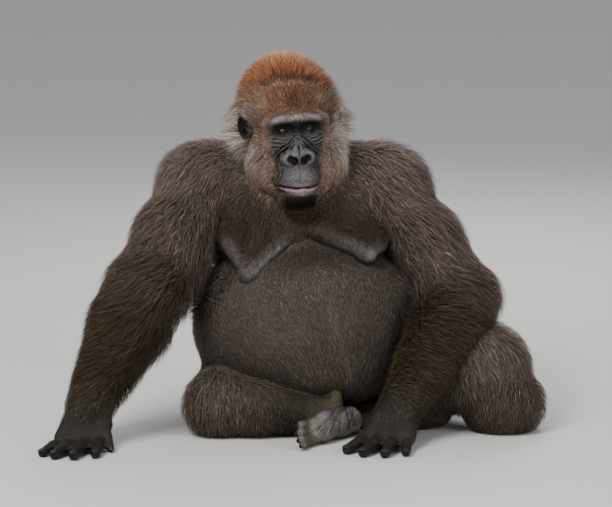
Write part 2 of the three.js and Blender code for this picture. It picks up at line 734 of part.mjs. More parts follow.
for (const side of ['right', 'left']) {
  const { rays, toThumb, reachOut } = hands[side];
  const turnSign = side === 'right' ? 1 : -1;
  FINGERS.forEach(({ name, length, radius, spread }, i) => {
    const direction = reachOut.clone().setZ(0).normalize()
      .applyAxisAngle(at(0, 0, 1), degrees(spread * turnSign));
    const make = digit(rays[i].knuckle.clone().setZ(19), direction, length, radius, 4);
    addNode(`finger_${name}_${side}`, 'skin', make);
  });
  const base = between(WRIST[side], KNUCKLES[side], 0.62).addScaledVector(toThumb, 44);
  const thumbWay = reachOut.clone().setZ(0).normalize().addScaledVector(toThumb, 0.55);
  addNode(`thumb_${side}`, 'skin', digit(base, thumbWay, THUMB.length, THUMB.radius, 2));
}

// Feet. Each lies on its outer edge; `fore` points to the toes and `inner` to the big toe's side.
const feet = {
  right: { heel: at(102, -246, 31), fore: at(-0.587, -0.809, 0), inner: at(0, 0.62, 0.78) },
  left: { heel: at(298, -198, 34), fore: at(-0.985, 0.1, -0.06), inner: at(0, 0.55, 0.83) },
};

for (const side of ['right', 'left']) {
  const foot = feet[side];
  foot.fore.normalize();
  foot.inner.normalize();
  foot.sole = foot.inner.clone().cross(foot.fore).normalize();
  if (side === 'left') foot.sole.negate();
  foot.inside = (forward, inward, down) => foot.heel.clone()
    .addScaledVector(foot.fore, forward)
    .addScaledVector(foot.inner, inward)
    .addScaledVector(foot.sole, down);
  foot.forms = [
    limb(foot.inside(2, 0, 0), foot.inside(40, 2, -4), 30, 30, 16),
    limb(foot.inside(40, 4, -4), foot.inside(100, 16, 0), 28, 24, 16),
    limb(foot.inside(40, -4, -4), foot.inside(104, -9, 0), 26, 21, 16),
    limb(foot.inside(100, 12, 0), foot.inside(FOOT_LENGTH - 32, 12, 0), 21, 17, 14),
    limb(foot.inside(104, -8, 0), foot.inside(FOOT_LENGTH - 38, -10, 0), 21, 16, 14),
    limb(foot.inside(52, 12, 6), foot.inside(66, 32, 10), 20, 17, 14),
    limb(foot.inside(36, 4, -14), ANKLE[side], 30, 34, 18),
  ];
}

for (const side of ['right', 'left']) {
  const [hip, knee, ankle] = [HIP, KNEE, ANKLE].map((j) => j[side]);
  const { upper, lower } = legs[side];
  const foot = feet[side];
  const atKnee = bentPlane(hip, knee, ankle);
  const atAnkle = bentPlane(knee, ankle, foot.inside(40, 0, 0));
  const wholeLeg = [...lower, ...upper];
  const downShin = alongLimb(knee, ankle);

  const thighShell = {
    from: hip, to: knee, field: fieldOf([...wholeLeg, ...torsoForms]), level: () => COAT.thigh,
    reach: 130, around: 15, along: 5, caps: 3, facing: at(0, 0, 1),
  };
  const shinShell = {
    from: knee, to: ankle, field: fieldOf([...wholeLeg, ...foot.forms]),
    level: (p) => THREE.MathUtils.lerp(COAT.thigh, COAT.ankle, downShin(p)),
    reach: side === 'left' ? 165 : 120, around: 16, along: 6, caps: 3, facing: at(0, -0.4, 1),
  };
  const thighLocks = { rows: [0.45, 0.75], each: 3, spread: 1, length: 110, thick: 7, seed: 31 };
  const kneeLocks = { rows: [-0.1, 0.25], each: 2, spread: 1, length: 90, thick: 6, seed: 41 };
  addNode(`thigh_${side}`, 'coat', (extra) => coated(thighShell, [thighLocks], extra), [behind(atKnee)]);
  addNode(`shin_${side}`, 'coat', (extra) => coated(shinShell, [kneeLocks], extra),
    [ahead(atKnee), behind(atAnkle)], [`thigh_${side}`]);
  addNode(`foot_${side}`, 'skin', (extra) => castCapsule({
    from: foot.inside(20, 0, 0), to: foot.inside(FOOT_LENGTH - 40, 2, 0),
    field: fieldOf([...foot.forms, ...lower]), level: () => COAT.foot,
    reach: 72, around: 14, along: 6, caps: 2,
  }, extra), [ahead(atAnkle)], [`shin_${side}`]);
}

// Toes curl on from the ball of the foot, and the big toe stands off the inner side like a thumb.
for (const side of ['right', 'left']) {
  const foot = feet[side];
  for (const { name, inward, length, radius } of TOES) {
    const points = [
      foot.inside(FOOT_LENGTH - 56, inward * 0.8, 0), foot.inside(FOOT_LENGTH - 32, inward, -3),
      foot.inside(FOOT_LENGTH - 32 + length * 0.6, inward * 1.05, -2),
      foot.inside(FOOT_LENGTH - 32 + length, inward * 1.1, 6),
    ];
    addNode(`toe_${name}_${side}`, 'skin', (extra) => tube(
      points, (t) => radius * (1.05 - 0.22 * t) + extra, { sides: 6, rings: 3, caps: 1, up: foot.sole },
    ));
  }
  const bigToe = [
    foot.inside(56, 18, 8), foot.inside(65, 36, 12), foot.inside(70, 53, 15), foot.inside(71, 68, 16),
  ];
  addNode(`toe_big_${side}`, 'skin', (extra) => tube(
    bigToe, (t) => BIG_TOE_RADIUS * (1 - 0.2 * t) + extra, { sides: 8, rings: 5, caps: 2, up: foot.sole },
  ));
}

// ---------------------------------------------------------------- the finished group

const gorilla = new THREE.Group();
for (const [name, { solid, finish }] of nodes) {
  const mesh = new THREE.Mesh(geometryOf(solid), new THREE.MeshStandardMaterial(FINISH[finish]));
  mesh.name = name;
  gorilla.add(mesh);
}

// The origin is under the middle of the whole animal, on the floor.
const bounds = new THREE.Box3().setFromObject(gorilla);
gorilla.position.set(-(bounds.min.x + bounds.max.x) / 2, -(bounds.min.y + bounds.max.y) / 2, 0);

export default gorilla;
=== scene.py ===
# %% [markdown]
# # A gorilla sitting down, life size
#
# This lesson dresses a packed set of solids as a grown female western lowland gorilla, as a museum
# would show her. The solids give the pose and the true outline out to the tips of the hair. Blender
# adds one seamless skin with a modelled face, wet eyes, nails, and a coat of real geometry. Everything
# is in metres and in the frame of the solids, and nothing else is read from disk.

# %% The fixed frame
import math

import bmesh
import bpy
import numpy as np
from mathutils import Matrix, Vector
from mathutils.kdtree import KDTree


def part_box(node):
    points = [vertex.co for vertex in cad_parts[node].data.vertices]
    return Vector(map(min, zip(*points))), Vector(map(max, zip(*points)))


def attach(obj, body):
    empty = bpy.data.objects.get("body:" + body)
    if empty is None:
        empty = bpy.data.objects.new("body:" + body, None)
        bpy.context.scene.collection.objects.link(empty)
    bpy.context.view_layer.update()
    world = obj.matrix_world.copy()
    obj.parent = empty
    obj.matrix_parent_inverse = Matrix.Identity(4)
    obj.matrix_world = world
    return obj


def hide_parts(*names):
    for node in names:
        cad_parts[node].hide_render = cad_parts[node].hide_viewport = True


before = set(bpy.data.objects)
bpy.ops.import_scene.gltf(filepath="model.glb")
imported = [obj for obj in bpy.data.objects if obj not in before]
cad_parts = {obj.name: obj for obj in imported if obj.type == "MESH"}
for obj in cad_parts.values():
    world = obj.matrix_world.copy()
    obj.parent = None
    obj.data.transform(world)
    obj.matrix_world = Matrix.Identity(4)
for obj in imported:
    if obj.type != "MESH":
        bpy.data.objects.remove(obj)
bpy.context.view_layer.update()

print("nodes in the frame:", len(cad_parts))

# %% [markdown]
# ## Millimetres of the design
#
# Bones and muscles are easiest to name in the design's own millimetres, where the floor is z = 0 and
# the animal faces -Y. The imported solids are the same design, moved sideways. The right eye is a ball
# whose middle is known in both frames, so it tells how far they are apart.

# %% The design's frame
MM = 0.001
EYES_MIDDLE = np.array([-13.0, -150.0, 656.0])
HEAD_TURN = (math.radians(-5), math.radians(-4), math.radians(8))  # about x, y and z
EYE_SPACING = 59.0
EYE_RADIUS = 12.5
EYE_DEPTH = 13.0  # of the eyeball's middle behind the plane of the eyes
CROWN_SHIFT, NOSE_SHIFT, MOUTH_SHIFT = -6.0, -6.0, -8.0  # to the animal's right of the eyes' middle


def turn_matrix(x, y, z):
    """The turn about y, then x, then z, whose columns are the turned axes."""
    turned = Matrix.Rotation(z, 3, "Z") @ Matrix.Rotation(x, 3, "X") @ Matrix.Rotation(y, 3, "Y")
    return np.array(turned)


HEAD_AXES = turn_matrix(*HEAD_TURN)


def from_head(points):
    return np.asarray(points, float) @ HEAD_AXES.T + EYES_MIDDLE


def to_head(points):
    return (points - EYES_MIDDLE) @ HEAD_AXES


low, high = (np.array(corner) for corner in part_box("eye_right"))
right_eye = from_head([-EYE_SPACING / 2, EYE_DEPTH, 0])
SHIFT = (low + high) / 2 - right_eye * MM


def metres(points):
    return np.asarray(points, float) * MM + SHIFT


def design(points):
    return (np.asarray(points, float) - SHIFT) / MM


print("the design is moved by", SHIFT.round(4), "m")

# %% [markdown]
# ## Camera
#
# The animal is seen from a good way off with a long lens, a little from above, so its knees and hands
# aren't swollen by perspective. The camera is made first, because the size of what it sees decides how
# fine the hair has to be: one pixel is about 2 mm here.

# %% Camera
AIM = np.array([7.0, -150.0, 384.0])
CAMERA_DISTANCE = 6.5
CAMERA_RISE = math.radians(9.5)
VIEW_WIDTH = 1.3464  # metres across the frame, at the aim
SENSOR_WIDTH = 36.0

camera_data = bpy.data.cameras.new("camera")
camera_data.sensor_width = SENSOR_WIDTH
camera_data.lens = SENSOR_WIDTH * CAMERA_DISTANCE / VIEW_WIDTH
camera_data.clip_end = 60
camera = bpy.data.objects.new("camera", camera_data)
bpy.context.scene.collection.objects.link(camera)
aim = Vector(metres(AIM))
away = Vector((0, -math.cos(CAMERA_RISE), math.sin(CAMERA_RISE)))
camera.location = aim + away * CAMERA_DISTANCE
camera.rotation_euler = (-away).to_track_quat("-Z", "Y").to_euler()
bpy.context.scene.camera = camera
print("lens:", round(camera_data.lens, 1), "mm")

# %% [markdown]
# ## Forms of the body
#
# Flesh is soft, so its parts run into one another. Balls and tapered limbs are enough to describe it,
# when each one also says how widely it melts into its neighbours. Sculpting would give a freer shape,
# but named forms can be measured and changed.

# %% Balls and limbs


class Ball:
    """An ellipsoid. turned is (axes, middle) of the frame that it is given in, or None."""

    def __init__(self, centre, radii, blend, turned=None):
        self.centre, self.radii = np.array(centre, float), np.array(radii, float)
        self.blend, self.turned = blend, turned

    def ends(self):
        return [self.centre], self.radii.max()

    def outside(self, points):
        q = (local_points(points, self.turned) - self.centre) / self.radii
        stretch = np.linalg.norm(q, axis=1)
        slope = np.maximum(np.linalg.norm(q / self.radii, axis=1), 1e-6)
        return stretch * (stretch - 1) / slope


class Limb:
    """A capsule that tapers from one joint to the next."""

    def __init__(self, start, end, start_radius, end_radius, blend, turned=None):
        self.start, self.end = np.array(start, float), np.array(end, float)
        self.radii = (start_radius, end_radius)
        self.blend, self.turned = blend, turned

    def ends(self):
        return [self.start, self.end], max(self.radii)

    def share(self, points):
        along = self.end - self.start
        return np.clip((points - self.start) @ along / (along @ along), 0, 1)

    def outside(self, points):
        q = local_points(points, self.turned)
        t = self.share(q)
        middle = self.start + t[:, None] * (self.end - self.start)
        radius = self.radii[0] + (self.radii[1] - self.radii[0]) * t
        return np.linalg.norm(q - middle, axis=1) - radius


def local_points(points, turned):
    if turned is None:
        return points
    axes, middle = turned
    return (points - middle) @ axes


print("15 mm from the middle of a 10 mm ball:",
      Ball((0, 0, 0), (10, 10, 10), 0).outside(np.array([[15.0, 0, 0]]))[0], "mm outside it")

# %% Melting and carving


def melt(a, b, width):
    """The smaller of two distances, rounded where they are within width of one another."""
    h = np.clip(0.5 + 0.5 * (a - b) / width, 0, 1)
    return a + (b - a) * h - width * h * (1 - h)


def carve(a, b, width):
    """What is left of a when b is taken away, with a rounded rim."""
    return -melt(-a, b, width)


NOWHERE = 1000.0  # stands for "too far off to matter", in millimetres


def near_forms(forms, points, reach):
    """The points within reach of the box round the forms."""
    low, high = np.full(3, np.inf), np.full(3, -np.inf)
    for form in forms:
        places, radius = form.ends()
        for place in places:
            if form.turned is not None:
                place = form.turned[0] @ place + form.turned[1]
            low, high = np.minimum(low, place - radius), np.maximum(high, place + radius)
    return ((points > low - reach) & (points < high + reach)).all(1)


def add_forms(distance, forms, points, reach):
    """Melts forms into the distance wherever they can be felt."""
    close = near_forms(forms, points, reach)
    here, there = distance[close], points[close]
    for form in forms:
        here = melt(here, form.outside(there), form.blend)
    distance[close] = here
    return distance


def cut_forms(distance, forms, points):
    for form in forms:
        close = near_forms([form], points, 2 * form.blend)
        distance[close] = carve(distance[close], form.outside(points[close]), form.blend)
    return distance


def melted(forms, points):
    return add_forms(np.full(len(points), NOWHERE), forms, points, 60)


print("two surfaces 5 mm away, melted over 20 mm, are now",
      melt(np.array([5.0]), np.array([5.0]), 20.0)[0], "mm away")

# %% Steps, shares and directions


def smooth_step(value, low, high):
    """0 up to low, 1 from high on, and an S-shaped rise between."""
    t = np.clip((value - low) / (high - low), 0, 1)
    return t * t * (3 - 2 * t)


def between(a, b, t):
    """The point that lies the share t of the way from a to b."""
    return np.asarray(a, float) + (np.asarray(b, float) - np.asarray(a, float)) * t


def unit(vectors):
    vectors = np.asarray(vectors, float)
    return vectors / np.maximum(np.linalg.norm(vectors, axis=-1, keepdims=True), 1e-9)


print("halfway up a smooth step:", smooth_step(5.0, 0, 10))

# %% [markdown]
# ## Torso and neck
#
# A gorilla's belly is its widest part, because it holds the long gut of a leaf eater. The chest sits
# on it like a barrel, and the neck slopes straight from the back to the crown.

# %% Torso and neck
PELVIS, CHEST, NECK = (55, 20, 118), (-8, 10, 425), (-22, 35, 545)
torso = [
    Ball(PELVIS, (185, 150, 112), 40),
    Ball((3, -85, 212), (245, 205, 185), 60),  # belly
    Ball((50, -80, 265), (185, 185, 135), 50),  # stomach
    Ball((60, -140, 138), (140, 120, 84), 50),  # groin
    Ball((25, 20, 270), (185, 140, 150), 60),  # waist
    Ball(CHEST, (200, 150, 150), 60),
    Ball((-15, 75, 440), (165, 105, 150), 60),  # upper back
    Limb((-185, 38, 530), (145, 38, 522), 66, 66, 50),  # shoulder girdle
]
neck = [
    Limb(NECK, (-24, 5, 610), 92, 82, 30),
    Limb((-22, 62, 520), (-26, 18, 615), 88, 80, 30),
]
print("forms of the torso:", len(torso), "and of the neck:", len(neck))

# %% [markdown]
# ## Head
#
# The head's forms are given from the point between the eyes: -Y is forwards and +Z towards the
# crown. The crown is a tall dome of chewing muscle and fat, the brow is one bar over both eyes, and
# the muzzle is short and broad under wide nostrils.

# %% Shapes in the head's frame
HEAD = (HEAD_AXES, EYES_MIDDLE)


def head_ball(x, y, z, radii, blend):
    return Ball((x, y, z), radii, blend, HEAD)


def head_limb(start, end, r0, r1, blend):
    return Limb(start, end, r0, r1, blend, HEAD)


def both(make):
    """The same form on the right, -1, and on the left, 1."""
    return [make(-1), make(1)]


def head_tube(points, radius_at, blend):
    """A curved roll of flesh, as limbs from point to point."""
    stations = np.linspace(0, 1, len(points))
    radii = [radius_at(t) for t in stations]
    return [
        head_limb(a, b, ra, rb, blend)
        for a, b, ra, rb in zip(points, points[1:], radii, radii[1:])
    ]


print("the head is turned by", HEAD_TURN, "radians")

# %% Skull and muzzle
skull = [
    head_ball(CROWN_SHIFT, 92, 50, (82, 100, 82), 20),  # braincase
    head_ball(CROWN_SHIFT, 118, 96, (70, 76, 58), 40),  # crest
    head_ball(0, 36, 46, (62, 36, 30), 20),  # forehead
    head_ball(CROWN_SHIFT, 146, 0, (112, 60, 82), 26),  # rear
    *both(lambda s: head_ball(s * 58, 14, 4, (13, 16, 24), 14)),  # orbit rims
    head_ball(0, 26, -45, (60, 46, 62), 24),  # midface
    *both(lambda s: head_ball(s * 46, 14, -30, (25, 22, 18), 16)),  # cheekbones
    head_limb((0, 4, 2), (NOSE_SHIFT, -24, -46), 10, 15, 14),  # bridge of the nose
    head_ball(MOUTH_SHIFT, -8, -100, (50, 40, 46), 24),  # muzzle
    head_ball(MOUTH_SHIFT, -24, -106, (42, 25, 22), 18),  # upper lip
    head_ball(MOUTH_SHIFT, -12, -142, (38, 30, 20), 16),  # lower lip
    head_ball(MOUTH_SHIFT, 14, -150, (40, 38, 26), 24),  # chin
    head_ball(NOSE_SHIFT, -40, -55, (11, 9, 13), 8),  # tip of the nose
    *both(lambda s: head_ball(NOSE_SHIFT + s * 20, -35, -59, (17, 12, 16), 8)),  # nostril wings
    *both(lambda s: head_ball(s * 58, 64, -60, (36, 50, 62), 24)),  # jowls
    head_ball(0, 60, -115, (62, 60, 50), 24),  # throat
]
print("forms of the skull and muzzle:", len(skull))

# %% Brow, eyes and nostrils
BROW = [(x, 1 + x * x / 330, 29 - x * x / 420) for x in range(-60, 61, 15)]
LID_GAP = 2.6  # from the eyeball to the middle of the lid's roll
brow = head_tube(BROW, lambda t: 11 + 4 * math.sin(math.pi * t), 12)


def lid(side, lift, thickness):
    """A roll of skin along an arc on the eyeball; lift is its height over the pupil."""
    half = EYE_RADIUS + LID_GAP
    points = []
    for t in np.linspace(-1, 1, 9):
        rise = lift * (1 - t * t) + t * side * 1.2
        x = t * half * 0.97
        depth = EYE_DEPTH - math.sqrt(max(0.0, half * half - x * x - rise * rise))
        points.append((side * EYE_SPACING / 2 + x, depth, rise))
    return head_tube(points, lambda t: thickness * (0.62 + 0.38 * math.sin(math.pi * t)), 2.5)


lids = [*both(lambda s: lid(s, 6.6, 3.4)), *both(lambda s: lid(s, -6.8, 3.0))]
sockets = both(lambda s: head_ball(s * EYE_SPACING / 2, -9, 2, (21, 15, 12), 8))
eyeballs = both(lambda s: head_ball(s * EYE_SPACING / 2, EYE_DEPTH, 0, [EYE_RADIUS + 0.2] * 3, 0.8))
nostrils = [
    *both(lambda s: head_ball(NOSE_SHIFT + s * 10.2, -46, -62.8, (8.0, 22, 9.0), 2.5)),
    *both(lambda s: head_ball(NOSE_SHIFT + s * 18.4, -42, -58.8, (8.4, 20, 8.4), 2.5)),
]
print("rolls of the lids:", len(lids), "and balls that are carved out:", len(sockets + eyeballs + nostrils))

# %% [markdown]
# ## Ears
#
# Small, round and flat against the head. Each is a shell with a cup carved out of it and one fold
# inside the rim, in a frame of its own that leans forwards.

# %% Ears
EAR_PLACE, EAR_HEIGHT = (95, 92, 14), 60


def ear_frame(side):
    axes = turn_matrix(math.radians(8), 0, math.radians(side * 38))
    place = np.array([side * EAR_PLACE[0], EAR_PLACE[1], EAR_PLACE[2]], float)
    return HEAD_AXES @ axes, from_head(place)


def ear_forms(side):
    turned = ear_frame(side)
    shell = Ball((side * 8, 0, 0), (19, 9, EAR_HEIGHT / 2), 6, turned)
    cup = Ball((side * 11, -8, 1), (13, 8.5, EAR_HEIGHT / 2 - 7), 3, turned)
    fold = Limb((side * 8, -3, 12), (side * 12, -4, -9), 3.2, 2.6, 3, turned)
    return shell, cup, fold


ears = {side: ear_forms(side) for side in (-1, 1)}
print("ears:", len(ears), "of", EAR_HEIGHT, "mm")

# %% [markdown]
# ## Arms and hands
#
# The arms are longer than the legs. Each runs from the shoulder over the elbow to the wrist, and the
# hand is a fan of four rays that end in knuckles, with the thumb set well back.

# %% Joints and sizes of the arms
SIDES = ("right", "left")
SHOULDER = {"right": (-230, 28, 512), "left": (186, 30, 502)}
ELBOW = {"right": (-338, -228, 316), "left": (352, -170, 292)}
WRIST = {"right": (-456, -345, 88), "left": (212, -318, 78)}
KNUCKLES = {"right": (-474, -404, 24), "left": (184, -386, 24)}
SHOULDER_RADIUS = {"right": 80, "left": 86}
ELBOW_RADIUS = {"right": 73, "left": 60}
FOREARM_RADIUS = {"right": 69, "left": 62}
WRIST_RADIUS = {"right": 46, "left": 42}
TO_THUMB = {"right": unit((1, 0.25, 0)), "left": unit((-1, 0.35, 0))}
FINGERS = {  # length, radius and spread in degrees
    "index": (84, 14, 14), "middle": (92, 14.5, 4), "ring": (86, 14, -7), "little": (68, 12.5, -18),
}
RAYS = {  # each knuckle's place towards the thumb, and how far it stands forward as a share of the hand
    "index": (42, 0.0), "middle": (14, 0.06), "ring": (-14, 0.02), "little": (-40, -0.08),
}
for side in SIDES:
    reach = np.linalg.norm(np.subtract(SHOULDER[side], ELBOW[side]))
    print(side, "upper arm:", round(float(reach)), "mm from joint to joint")

# %% Fingers
FINGERTIP_HEIGHT = 0.72  # of a fingertip's middle over the floor, in radii
NAIL_SIZE = 0.8  # of a nail's radius, in radii of the finger
digits = []


def rotated_flat(direction, angle):
    flat = unit((direction[0], direction[1], 0))
    c, s = math.cos(angle), math.sin(angle)
    return np.array([c * flat[0] - s * flat[1], s * flat[0] + c * flat[1], 0])


def digit_limbs(points, radius, taper):
    radii = [radius * (taper[0] - taper[1] * t) for t in np.linspace(0, 1, len(points))]
    return [Limb(a, b, ra, rb, 3) for a, b, ra, rb in zip(points, points[1:], radii, radii[1:])]


def add_finger(start, direction, length, radius, arch):
    tip = start + direction * length
    tip[2] = radius * FINGERTIP_HEIGHT
    bend = between(start, tip, 0.5) + (0, 0, arch)
    points = [start - direction * 10, start, bend, tip]
    digits.append({
        "limbs": digit_limbs(points, radius, (1.08, 0.3)), "tip": tip, "way": unit(tip - bend),
        "top": np.array([0.0, 0, 1]), "radius": radius * NAIL_SIZE,
    })


print("a finger has", len(digit_limbs([(0, 0, 0)] * 4, 1, (1, 0))), "tapered lengths")

# %% Arms and hands
KNUCKLE_HEIGHT = 19.0
upper_arms, forearms, hands = {}, {}, {}

for side in SIDES:
    joints = (SHOULDER, ELBOW, WRIST, KNUCKLES)
    shoulder, elbow, wrist, knuckles = (np.array(joint[side], float) for joint in joints)
    swell = between(elbow, wrist, 0.3)
    upper_arms[side] = [
        Ball(shoulder, [SHOULDER_RADIUS[side]] * 3, 40),
        Limb(shoulder, elbow, 68, ELBOW_RADIUS[side] - 4, 24),
        Ball(between(shoulder, elbow, 0.5), (70, 70, 70), 30),
    ]
    forearms[side] = [
        Limb(elbow, swell, ELBOW_RADIUS[side], FOREARM_RADIUS[side], 24),
        Limb(swell, wrist, FOREARM_RADIUS[side], WRIST_RADIUS[side], 24),
    ]
    reach, thumb_way = knuckles - wrist, TO_THUMB[side]
    palm = [Ball(between(wrist, knuckles, 0.15), (36, 34, 32), 20)]
    turn_sign = 1 if side == "right" else -1
    for name, (offset, stretch) in RAYS.items():
        knuckle = knuckles + thumb_way * offset + reach * stretch
        palm.append(Limb(between(wrist, knuckles, 0.1) + thumb_way * offset * 0.5, knuckle, 24, 19, 14))
        length, radius, spread = FINGERS[name]
        start = np.array([knuckle[0], knuckle[1], KNUCKLE_HEIGHT])
        add_finger(start, rotated_flat(reach, math.radians(spread * turn_sign)), length, radius, 4)
    thumb_root = between(wrist, knuckles, 0.62) + thumb_way * 44
    palm.append(Limb(between(wrist, knuckles, 0.2) + thumb_way * 18, thumb_root, 19, 15, 14))
    add_finger(thumb_root, unit(unit((reach[0], reach[1], 0)) + thumb_way * 0.55), 56, 10.5, 2)
    hands[side] = palm
print("fingers and thumbs:", len(digits))

# %% [markdown]
# ## Legs and feet
#
# The right shin lies across the front with the sole turned inwards, and the big toe stands off it
# like a thumb. The left knee leans outwards, and that foot is tucked under the belly.

# %% Legs
HIP = {"right": (-110, -8, 106), "left": (150, -20, 108)}
KNEE = {"right": (-186, -250, 66), "left": (403, -198, 142)}
ANKLE = {"right": (50, -262, 46), "left": (260, -204, 50)}
knee, ankle = np.array(KNEE["right"], float), np.array(ANKLE["right"], float)
thighs = {
    "right": [Limb(HIP["right"], knee, 98, 62, 30)],
    "left": [Limb(HIP["left"], KNEE["left"], 98, 90, 40)],
}
shins = {
    "right": [
        Limb(knee, between(knee, ankle, 0.35), 64, 58, 20),
        Limb(between(knee, ankle, 0.35), ankle, 58, 36, 20),
    ],
    "left": [Ball((437, -202, 60), (89, 80, 80), 30), Limb(KNEE["left"], ANKLE["left"], 70, 38, 30)],
}
print("right shin:", round(float(np.linalg.norm(knee - ankle))), "mm from knee to ankle")

# %% A frame for each foot
FOOT_LENGTH = 170
HEEL = {"right": (102, -246, 31), "left": (298, -198, 34)}
FOOT_FORE = {"right": unit((-0.587, -0.809, 0)), "left": unit((-0.985, 0.1, -0.06))}
FOOT_INNER = {"right": unit((0, 0.62, 0.78)), "left": unit((0, 0.55, 0.83))}
TOES = {  # place inwards, length and radius
    "second": (22, 52, 10), "third": (5, 54, 10), "fourth": (-11, 50, 9.5), "fifth": (-24, 42, 9),
}
SOLE = {
    "right": unit(np.cross(FOOT_INNER["right"], FOOT_FORE["right"])),
    "left": unit(np.cross(FOOT_FORE["left"], FOOT_INNER["left"])),
}


def in_foot(side, forward, inward, down):
    """A place given from the heel: towards the toes, towards the big toe, and out of the sole."""
    return (np.array(HEEL[side], float) + FOOT_FORE[side] * forward + FOOT_INNER[side] * inward
            + SOLE[side] * down)


def toe(side, points, radius, taper):
    points = [in_foot(side, *point) for point in points]
    digits.append({
        "limbs": digit_limbs(points, radius, taper), "tip": points[-1],
        "way": unit(points[-1] - points[-2]), "top": -SOLE[side], "radius": radius * 0.84,
    })


print("the right sole faces", SOLE["right"].round(2))

# %% Feet and toes
BIG_TOE = [(56, 18, 8), (65, 36, 12), (70, 53, 15), (71, 66, 16)]  # forwards, inwards and down
BALL_OF_FOOT = FOOT_LENGTH - 32
feet = {}

for side in SIDES:
    bones = [
        ((2, 0, 0), (40, 2, -4), 30, 30, 16), ((40, 4, -4), (100, 16, 0), 28, 24, 16),
        ((40, -4, -4), (104, -9, 0), 26, 21, 16), ((100, 12, 0), (BALL_OF_FOOT, 12, 0), 21, 17, 14),
        ((104, -8, 0), (FOOT_LENGTH - 38, -10, 0), 21, 16, 14), ((52, 12, 6), (66, 32, 10), 20, 17, 14),
    ]
    feet[side] = [Limb(in_foot(side, *a), in_foot(side, *b), ra, rb, w) for a, b, ra, rb, w in bones]
    feet[side].append(Limb(in_foot(side, 36, 4, -14), ANKLE[side], 30, 34, 18))
    for inward, length, radius in TOES.values():
        toe(side, [
            (FOOT_LENGTH - 56, inward * 0.8, 0), (BALL_OF_FOOT, inward, -3),
            (BALL_OF_FOOT + length * 0.6, inward * 1.05, -2), (BALL_OF_FOOT + length, inward * 1.1, 6),
        ], radius, (1.05, 0.22))
    toe(side, BIG_TOE, 16.8, (1.0, 0.16))
print("fingers, thumbs and toes:", len(digits))

# %% [markdown]
# ## Breasts
#
# A mother's breasts hang as flat folds of nearly bare skin. Above, each one runs smoothly out of the
# chest. Below, it ends in a sharp crease, so the width over which it melts depends on the side.

# %% Breasts
BREAST_RADIUS, BREAST_TIP = 25, 13
BREAST_ROOTS = {  # outer root, inner root and nipple
    "right": ((-166, -108, 411), (-42, -142, 421), (-118, -193, 344)),
    "left": ((46, -142, 429), (166, -104, 402), (141, -182, 388)),
}


def breast(outer, inner, nipple):
    nipple = np.array(nipple, float)
    roots = (outer, inner, between(outer, inner, 0.5) + (0, 8, 6))
    return [Limb(root, nipple, BREAST_RADIUS, BREAST_TIP, 20) for root in roots] + [
        Ball(nipple + (0, -2, -BREAST_TIP * 0.6), (7, 7, 8), 5)
    ]


breasts = {side: breast(*BREAST_ROOTS[side]) for side in BREAST_ROOTS}


def over_edge(points, side):
    """Height in millimetres over a breast's lower edge."""
    edge = sorted((x, z - BREAST_RADIUS) for x, y, z in BREAST_ROOTS[side][:2])
    nipple = BREAST_ROOTS[side][2]
    edge.insert(1, (nipple[0], nipple[2] - BREAST_TIP))
    return points[:, 2] - np.interp(points[:, 0], [x for x, z in edge], [z for x, z in edge])


def above_fold(points, side):
    """From 0 below a breast's lower edge to 1 well above it."""
    return smooth_step(over_edge(points, side), 5, 36)


print("forms of the breasts:", sum(len(forms) for forms in breasts.values()))

# %% [markdown]
# ## One field for the whole animal
#
# Every point in space gets one number: how far it lies outside the skin. Where two parts belong
# together, such as arm and shoulder, they melt widely. Where they only touch, such as forearm and
# belly, they keep a sharp crease, or the animal would look poured.

# %% The field
TOUCH = 3.0  # width over which parts that only touch run together


def near(points, place, reach):
    """1 within half the reach of a place, 0 beyond the reach."""
    return 1 - smooth_step(np.linalg.norm(points - np.asarray(place, float), axis=1), reach * 0.5, reach)


def head_field(points):
    distance = melted(skull, points)
    distance = add_forms(distance, brow, points, 30)
    distance = cut_forms(distance, sockets, points)
    for tube in lids:
        distance = add_forms(distance, tube, points, 8)
    distance = cut_forms(distance, eyeballs + nostrils, points)
    for shell, cup, fold in ears.values():
        distance = add_forms(distance, [shell], points, 20)
        distance = cut_forms(distance, [cup], points)
        distance = add_forms(distance, [fold], points, 10)
    return distance


def parts_of_body(points):
    """How far each point is outside each part."""
    parts = {"torso": melted(torso, points), "neck": melted(neck, points), "head": head_field(points)}
    for side in SIDES:
        parts[f"breast_{side}"] = melted(breasts[side], points)
        parts[f"upper_arm_{side}"] = melted(upper_arms[side], points)
        parts[f"forearm_{side}"] = melted(forearms[side], points)
        parts[f"hand_{side}"] = melted(hands[side], points)
        parts[f"thigh_{side}"] = melted(thighs[side], points)
        parts[f"shin_{side}"] = melted(shins[side], points)
        parts[f"foot_{side}"] = melted(feet[side], points)
    parts["digits"] = np.min([melted(digit["limbs"], points) for digit in digits], axis=0)
    return parts


def body_field(points, parts=None):
    parts = parts or parts_of_body(points)
    nape = smooth_step(points[:, 1], -70, 20)
    body = melt(parts["head"], parts["neck"], 30.0)
    body = melt(body, parts["torso"], TOUCH + 27 * nape)
    for side in SIDES:
        body = melt(body, parts[f"breast_{side}"], TOUCH + 46 * above_fold(points, side))
        arm = melt(parts[f"upper_arm_{side}"], parts[f"forearm_{side}"], 24.0)
        arm = melt(arm, parts[f"hand_{side}"], 16.0)
        body = melt(body, arm, TOUCH + 30 * near(points, SHOULDER[side], 150))
        leg = melt(parts[f"thigh_{side}"], parts[f"shin_{side}"], 24.0)
        leg = melt(leg, parts[f"foot_{side}"], 14.0)
        body = melt(body, leg, TOUCH + 30 * near(points, HIP[side], 220))
    return melt(body, parts["digits"], 6.0)


print("the field at the middle of the chest:", body_field(np.array([CHEST], float)).round(), "mm")

